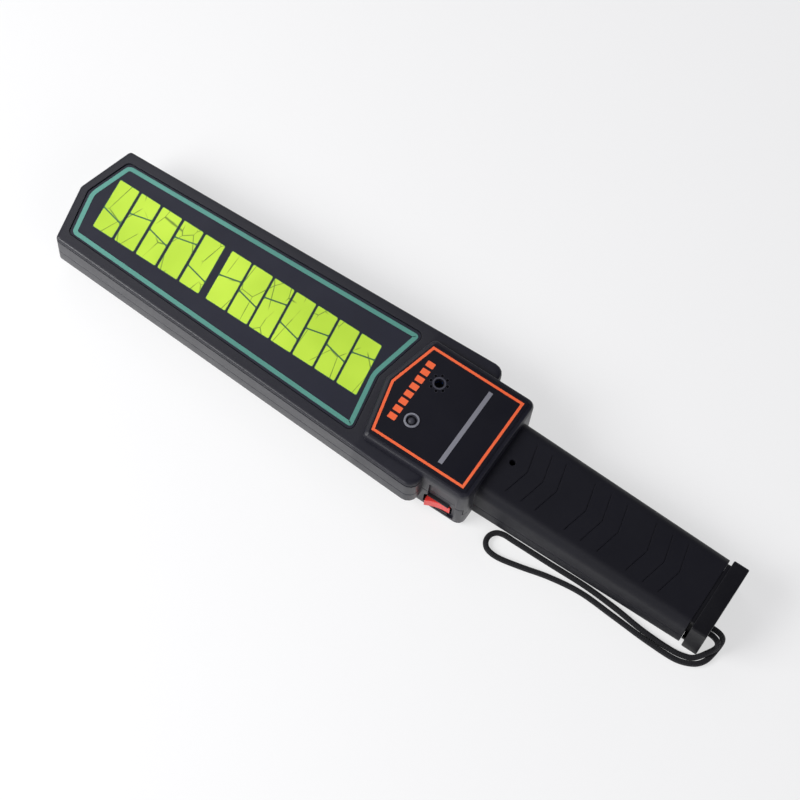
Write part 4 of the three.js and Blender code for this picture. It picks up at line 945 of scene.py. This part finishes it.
# Shares of the head's radius or height, of the shank's radius and of the thread's pitch
HEAD_FLAT = 0.72
HEAD_DOME = 0.55
HEAD_STEPS = 4
RECESS_LENGTH = 1.15
RECESS_WIDTH = 0.28
CORE = 0.78
TIP_LENGTH = 0.8
TIP_BLUNT = 0.35
CREST_START = 0.18
CREST_END = 0.24
FLANK_END = 0.45


def head_section(radius, height):
    """A pan head from the middle of its face out to its rim."""
    turns = [math.pi / 2 * i / HEAD_STEPS for i in range(1, HEAD_STEPS + 1)]
    dome = [(radius * (HEAD_FLAT + (1 - HEAD_FLAT) * math.sin(a)), height * HEAD_DOME * (1 - math.cos(a)))
            for a in turns]
    return [(0, 0), (radius * HEAD_FLAT, 0), *dome, (radius, height)]


def screw_form(length, head_radius, head_height, shank, pitch):
    """A screw on the origin's upright axis, with its head down at height 0."""
    core = shank * CORE
    section = head_section(head_radius, head_height)
    section += [(core, head_height), (core, head_height + NECK_HEIGHT)]
    height = head_height + THREAD_START
    while height + pitch < length - shank:
        section += [
            (shank, height + CREST_START * pitch),
            (shank, height + CREST_END * pitch),
            (core, height + FLANK_END * pitch),
            (core, height + pitch),
        ]
        height += pitch
    section += [(core, length - shank * TIP_LENGTH), (core * TIP_BLUNT, length), (0, length)]
    form = bmesh.new()
    spun(form, (-TIP / MM, 0), section, SCREW_STEPS)
    return form


def recess_bar(head_radius, turn):
    """One of the two bars of the driver's cross, in a head at height 0."""
    size = Matrix.Diagonal((
        head_radius * RECESS_LENGTH * MM, head_radius * RECESS_WIDTH * MM, 2 * RECESS_DEPTH * MM, 1))
    form = bmesh.new()
    bmesh.ops.create_cube(form, size=1, matrix=Matrix.Rotation(turn, 4, "Z") @ size)
    return form


def dressed_screw(node, sizes, head_up=False):
    """A screw in a CAD screw's place, its cross cut one bar at a time."""
    low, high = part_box(node)
    mesh = mesh_of(node, screw_form((high.z - low.z) / MM, **sizes))
    for turn in (0, math.pi / 2):
        mesh = carved(mesh, recess_bar(sizes["head_radius"], turn))
    form = bmesh.new()
    form.from_mesh(mesh)
    head = high.z if head_up else low.z
    place = Matrix.Translation(((low.x + high.x) / 2, (low.y + high.y) / 2, head))
    if head_up:
        place = place @ Matrix.Rotation(math.pi, 4, "X")
    bmesh.ops.transform(form, verts=form.verts, matrix=place)
    weighted(in_scene(f"{node}_turned", mesh_of(node, form), "casing", "steel", plated_steel, node))


for node in CASE_SCREWS:
    dressed_screw(node, CASE_SCREW)
for node in BOARD_SCREWS:
    dressed_screw(node, BOARD_SCREW)
dressed_screw("handle_screw", HANDLE_SCREW, head_up=True)


# The wrist strap, one braided cord out of the end cap and back into it

CAP_FACE = 410
STRAP_DIAMETER = 3.1
STRAP_FLOOR = 1.6
STRAP_STEP = 0.0011
STRAP_SIDES = 16

# The strap's way in millimetres from the cap's outer face: out of the hole, along the floor, back in
STRAP_OUT = [
    (-1.7, -10.0, 14.0), (1.2, -10.0, 14.0), (4.4, -10.0, 13.2), (6.7, -10.3, 11.0), (7.6, -11.0, 7.9),
    (7.7, -12.3, 4.9), (7.4, -14.9, 2.5),
]
STRAP_LYING = [
    (6.9, -18.2), (5.8, -22.3), (3.0, -26.2), (-1.4, -28.9), (-7.6, -30.7), (-23.5, -30.8), (-46.0, -29.4),
    (-66.8, -28.3), (-84.7, -30.6), (-100.7, -34.6), (-112.0, -36.9), (-116.8, -36.9), (-120.4, -35.7),
    (-122.7, -32.6), (-122.7, -28.8), (-120.4, -25.7), (-116.8, -24.5), (-110.5, -24.4), (-89.6, -24.2),
    (-65.4, -23.9), (-47.3, -25.1), (-28.0, -27.3), (-10.0, -27.5), (-5.0, -26.6),
]
STRAP_BACK = [
    (-0.8, -25.1, 1.9), (2.2, -22.3, 3.0), (4.4, -19.2, 4.1), (6.0, -17.0, 5.5), (6.9, -15.3, 8.0),
    (6.3, -14.2, 10.8), (4.0, -13.6, 13.1), (0.9, -13.4, 14.0), (-1.7, -13.4, 14.0),
]


def smooth_route(points, step):
    """Points about a step apart on one smooth curve through the given ones."""
    fine = []
    ends = [2 * points[0] - points[1], *points, 2 * points[-1] - points[-2]]
    for a, b, c, d in zip(ends, ends[1:], ends[2:], ends[3:]):
        before, here, after = ((q - p).length ** 0.5 for p, q in ((a, b), (b, c), (c, d)))
        middle = (c - b) / here
        slope_in = ((b - a) / before - (c - a) / (before + here) + middle) * here
        slope_out = (middle - (d - b) / (here + after) + (d - c) / after) * here
        count = max(2, round((c - b).length / step))
        for i in range(count):
            t = i / count
            fine.append((2 * t**3 - 3 * t**2 + 1) * b + (t**3 - 2 * t**2 + t) * slope_in
                        + (3 * t**2 - 2 * t**3) * c + (t**3 - t**2) * slope_out)
    return [*fine, points[-1]]


def tube(route, radius, sides):
    """A round cord along a route, drawn out ring by ring without twisting, and closed at both ends."""
    form = bmesh.new()
    ring = bmesh.ops.create_circle(form, segments=sides, radius=radius, cap_ends=False)["verts"]
    heading = (route[1] - route[0]).normalized()
    turn = heading.to_track_quat("Z", "Y").to_matrix().to_4x4()
    bmesh.ops.transform(form, verts=ring, matrix=Matrix.Translation(route[0]) @ turn)
    edges = list(form.edges)
    form.faces.new(ring)
    for here, place in zip(route, route[1:]):
        grown = bmesh.ops.extrude_edge_only(form, edges=edges)
        ring = new_verts(grown)
        edges = [item for item in grown["geom"] if isinstance(item, bmesh.types.BMEdge)]
        next_heading = (place - here).normalized()
        swing = heading.rotation_difference(next_heading).to_matrix().to_4x4()
        heading = next_heading
        step = Matrix.Translation(place) @ swing @ Matrix.Translation(-here)
        bmesh.ops.transform(form, verts=ring, matrix=step)
    form.faces.new(ring)
    return form


def cord_mesh(name, route, radius, sides):
    """A cord whose UV map holds the length along it in metres and the share of the turn round it."""
    form = tube(route, radius, sides)
    layer = form.loops.layers.uv.new("UVMap")
    bmesh.ops.recalc_face_normals(form, faces=form.faces)
    form.verts.index_update()
    lengths = [0.0]
    for here, place in zip(route, route[1:]):
        lengths.append(lengths[-1] + (place - here).length)
    for face in form.faces:
        face.smooth = len(face.verts) == 4
        places = [divmod(loop.vert.index, sides) for loop in face.loops]
        wraps = max(side for _, side in places) - min(side for _, side in places) > 1
        for loop, (row, side) in zip(face.loops, places):
            turn = side + sides if wraps and side == 0 else side
            loop[layer].uv = (lengths[row], turn / sides)
    return ended(name, form)


strap_places = [*STRAP_OUT, *((x, y, STRAP_FLOOR) for x, y in STRAP_LYING), *STRAP_BACK]
strap_route = smooth_route([at(CAP_FACE + x, y, z) for x, y, z in strap_places], STRAP_STEP)
strap_length = sum((b - a).length for a, b in zip(strap_route, strap_route[1:]))
strap_mesh = cord_mesh("strap_cord", strap_route, STRAP_DIAMETER / 2 * MM, STRAP_SIDES)
strap = in_scene("strap_cord", strap_mesh, "end_cap", "cord", strap_braid, "wrist_strap")

KNOT_MIDDLE = at(405.7, -11.7, 14.0)
KNOT_HALF = Vector((2.2, 4.4, 3.6)) * MM
KNOT_STRAND = 1.15 * MM
KNOT_POINTS = 48
KNOT_STEP = 0.0005
KNOT_SIDES = 12
KNOT_REACH_Y = 2.8
KNOT_REACH_Z = 2.7
KNOT_SHIFT_Z = 0.35


def knot_route():
    """The overhand knot in which both ends of the strap are tied, drawn up tight."""
    points = []
    room = KNOT_HALF - Vector((KNOT_STRAND,) * 3)
    for i in range(KNOT_POINTS):
        t = 2 * math.pi * i / KNOT_POINTS
        x = math.sin(3 * t)
        y = (math.sin(t) + 2 * math.sin(2 * t)) / KNOT_REACH_Y
        z = (math.cos(t) - 2 * math.cos(2 * t) - KNOT_SHIFT_Z) / KNOT_REACH_Z
        points.append(KNOT_MIDDLE + Vector((x * room.x, y * room.y, z * room.z)))
    return points


knot_mesh = cord_mesh("strap_knot_tied", smooth_route(knot_route(), KNOT_STEP), KNOT_STRAND, KNOT_SIDES)
knot = in_scene("strap_knot_tied", knot_mesh, "end_cap", "cord", strap_braid, "strap_knot")


# Prints on the head label and the panel: thin raised ink


def offset(corners, distance):
    """Moves each side of a counterclockwise outline outwards."""
    moved = []
    for before, here, after in zip(corners[-1:] + corners[:-1], corners, corners[1:] + corners[:1]):
        side_in = Vector((here[1] - before[1], before[0] - here[0])).normalized()
        side_out = Vector((after[1] - here[1], here[0] - after[0])).normalized()
        shift = (side_in + side_out) * (distance / (1 + side_in.dot(side_out)))
        moved.append((here[0] + shift.x, here[1] + shift.y))
    return moved


BORDER_CORNER_STEPS = 5
SHAPE_CORNER_STEPS = 3


def flat_face(form, corners, height, rounding, segments):
    """A face from an outline in millimetres, with its corners rounded."""
    face = form.faces.new([form.verts.new(at(x, y, height)) for x, y in corners])
    if rounding:
        bmesh.ops.bevel(form, geom=list(face.verts), offset=rounding * MM, affect="VERTICES",
                        segments=segments, profile=0.5, material=-1)
    form.normal_update()


def raised(name, form, thickness, slot, finish):
    """Ends a print: its faces are drawn up to the ink's thickness."""
    top = new_verts(bmesh.ops.extrude_face_region(form, geom=form.faces[:]))
    bmesh.ops.translate(form, verts=top, vec=(0, 0, thickness * MM))
    in_scene(name, mesh_of(name, form), "casing", slot, finish)


def border(name, middle, width, height, rounding, slot, finish):
    """An even band of ink along an outline."""
    form = bmesh.new()
    flat_face(form, offset(middle, width / 2), height, rounding, BORDER_CORNER_STEPS)
    bmesh.ops.inset_region(form, faces=form.faces[:], thickness=width * MM, use_boundary=True,
                           use_even_offset=True)
    inner = max(form.faces, key=lambda face: face.calc_area())
    bmesh.ops.delete(form, geom=[inner], context="FACES_ONLY")
    raised(name, form, INK, slot, finish)


def shapes(name, outlines, height, thickness, rounding, slot, finish):
    """Flat ink shapes, each from its own outline."""
    form = bmesh.new()
    for corners in outlines:
        flat_face(form, corners, height, rounding, SHAPE_CORNER_STEPS)
    raised(name, form, thickness, slot, finish)


HEAD_PRINT_Z = 33.2
PANEL_PRINT_Z = 38.4
INK = 0.06

# The middle lines of the two borders, counterclockwise, and the widths of their bands
HEAD_BORDER = [(198.4, -31.0), (192.3, 0), (198.4, 31.0), (14.4, 24.3), (7.9, 0), (14.4, -24.3)]
HEAD_BORDER_WIDTH = 2.5
HEAD_BORDER_ROUND = 2.6
PANEL_BORDER = [(266.2, -28.4), (266.2, 28.4), (210.7, 28.4), (203.7, 0), (210.7, -28.4)]
PANEL_BORDER_WIDTH = 1.5

border("head_border", HEAD_BORDER, HEAD_BORDER_WIDTH, HEAD_PRINT_Z, HEAD_BORDER_ROUND, "head_plate", teal_ink)
border("panel_border", PANEL_BORDER, PANEL_BORDER_WIDTH, PANEL_PRINT_Z, 0, "panel_plate", orange_ink)

# Two rows of slanted blocks, five and seven, stand in the middle of the head label.
BLOCK_ROWS = [(17.6, 5, 14.3), (92.2, 7, 14.05)]
BLOCK_WIDTH = 12.5
BLOCK_HALF_HEIGHT = 15.6
BLOCK_LEAN = -0.16
BLOCK_ROUND = 0.7
BLOCK_RIM = 0.3
BLOCK_RIM_ROUND = 0.9
BLOCK_SPLITS = [-4.5, 3.5, -1.0, 6.0, -6.5, 1.5, -3.0, 4.5, -5.5, 2.5, -2.0, 5.0]
SPLIT_TILT = 3.0
SPLIT_WIDTH = 0.9


def leaning_block(left, low, high, low_rise=0.0, high_rise=0.0):
    """A slanted block whose lower and upper sides may climb from left to right."""
    corners = [(0, low), (BLOCK_WIDTH, low + low_rise), (BLOCK_WIDTH, high + high_rise), (0, high)]
    return [(left + across + BLOCK_LEAN * up, up) for across, up in corners]


def head_blocks():
    """Each block is split across at its own height, on a green rim that runs round it whole."""
    lefts = [start + pitch * i for start, count, pitch in BLOCK_ROWS for i in range(count)]
    halves = []
    for i, (left, split) in enumerate(zip(lefts, BLOCK_SPLITS)):
        rise = SPLIT_TILT if i % 2 else -SPLIT_TILT
        gap_low = split - (rise + SPLIT_WIDTH) / 2
        gap_high = gap_low + SPLIT_WIDTH
        halves.append(leaning_block(left, -BLOCK_HALF_HEIGHT, gap_low, high_rise=rise))
        halves.append(leaning_block(left, gap_high, BLOCK_HALF_HEIGHT, low_rise=rise))
    rims = [offset(leaning_block(left, -BLOCK_HALF_HEIGHT, BLOCK_HALF_HEIGHT), BLOCK_RIM) for left in lefts]
    shapes("head_block_rims", rims, HEAD_PRINT_Z, INK / 2, BLOCK_RIM_ROUND, "head_plate", green_ink)
    shapes("head_blocks", halves, HEAD_PRINT_Z + INK / 2, INK / 2, BLOCK_ROUND, "head_plate", yellow_ink)


def oblong(left, low, width, height):
    return [(left, low), (left + width, low), (left + width, low + height), (left, low + height)]


# The panel's bar, the row of marks along its front, and the scale round the trimmer's hole.
BAR = oblong(248.1, -24.3, 2.5, 48.6)
MARKS = [oblong(212.4, 17.4 - 5.1 * i, 4.6, 3.5) for i in range(8)]
MARK_ROUND = 0.3
TRIMMER = at(224.3, 13.0, PANEL_PRINT_Z)
SCALE_RING = (2.7, 3.6)
SCALE_RADIUS = 4.65
SCALE_RING_STEPS = 48
SCALE_EYES = 8
SCALE_START = math.radians(12)
EYE_RING = (0.84, 0.94)
DOT_RADIUS = 0.8
DOT_STEPS = 20


def spun_ring(form, centre, radii, steps):
    """A flat ring of faces about a centre, between two radii."""
    start, end = (form.verts.new(centre + Vector((radius * MM, 0, 0))) for radius in radii)
    line = form.edges.new((start, end))
    bmesh.ops.spin(form, geom=[start, end, line], cent=centre, axis=(0, 0, 1), angle=2 * math.pi,
                   steps=steps, use_merge=True)


def trimmer_scale():
    """A grey ring round the hole, and at each of eight steps a small eye with a dark dot in it."""
    turns = [SCALE_START + 2 * math.pi * i / SCALE_EYES for i in range(SCALE_EYES)]
    middles = [TRIMMER + Vector((math.cos(turn), math.sin(turn), 0)) * SCALE_RADIUS * MM for turn in turns]
    rings, dots = bmesh.new(), bmesh.new()
    spun_ring(rings, TRIMMER, SCALE_RING, SCALE_RING_STEPS)
    for middle in middles:
        spun_ring(rings, middle, EYE_RING, DOT_STEPS)
        bmesh.ops.create_circle(dots, cap_ends=True, segments=DOT_STEPS, radius=DOT_RADIUS * MM,
                                matrix=Matrix.Translation(middle))
    raised("trimmer_scale", rings, INK, "panel_plate", scale_ink)
    raised("trimmer_dots", dots, INK, "panel_plate", dot_ink)


head_blocks()
shapes("panel_bar", [BAR], PANEL_PRINT_Z, INK, 0, "panel_plate", grey_ink)
shapes("panel_marks", MARKS, PANEL_PRINT_Z, INK, MARK_ROUND, "panel_plate", orange_ink)
trimmer_scale()


# The studio

FLOOR_HALF = 6


def studio():
    form = bmesh.new()
    bmesh.ops.create_grid(form, x_segments=2, y_segments=2, size=FLOOR_HALF)
    floor = bpy.data.objects.new("floor", ended("floor", form))
    floor.data.materials.append(floor_paper().material)
    bpy.context.scene.collection.objects.link(floor)
    world = bpy.context.scene.world or bpy.data.worlds.new("world")
    bpy.context.scene.world = world
    surround(world)
    bpy.context.scene.view_settings.view_transform = "Standard"
    for name, setting in LIGHTS.items():
        soft_light(name, *setting)


place_camera()
studio()
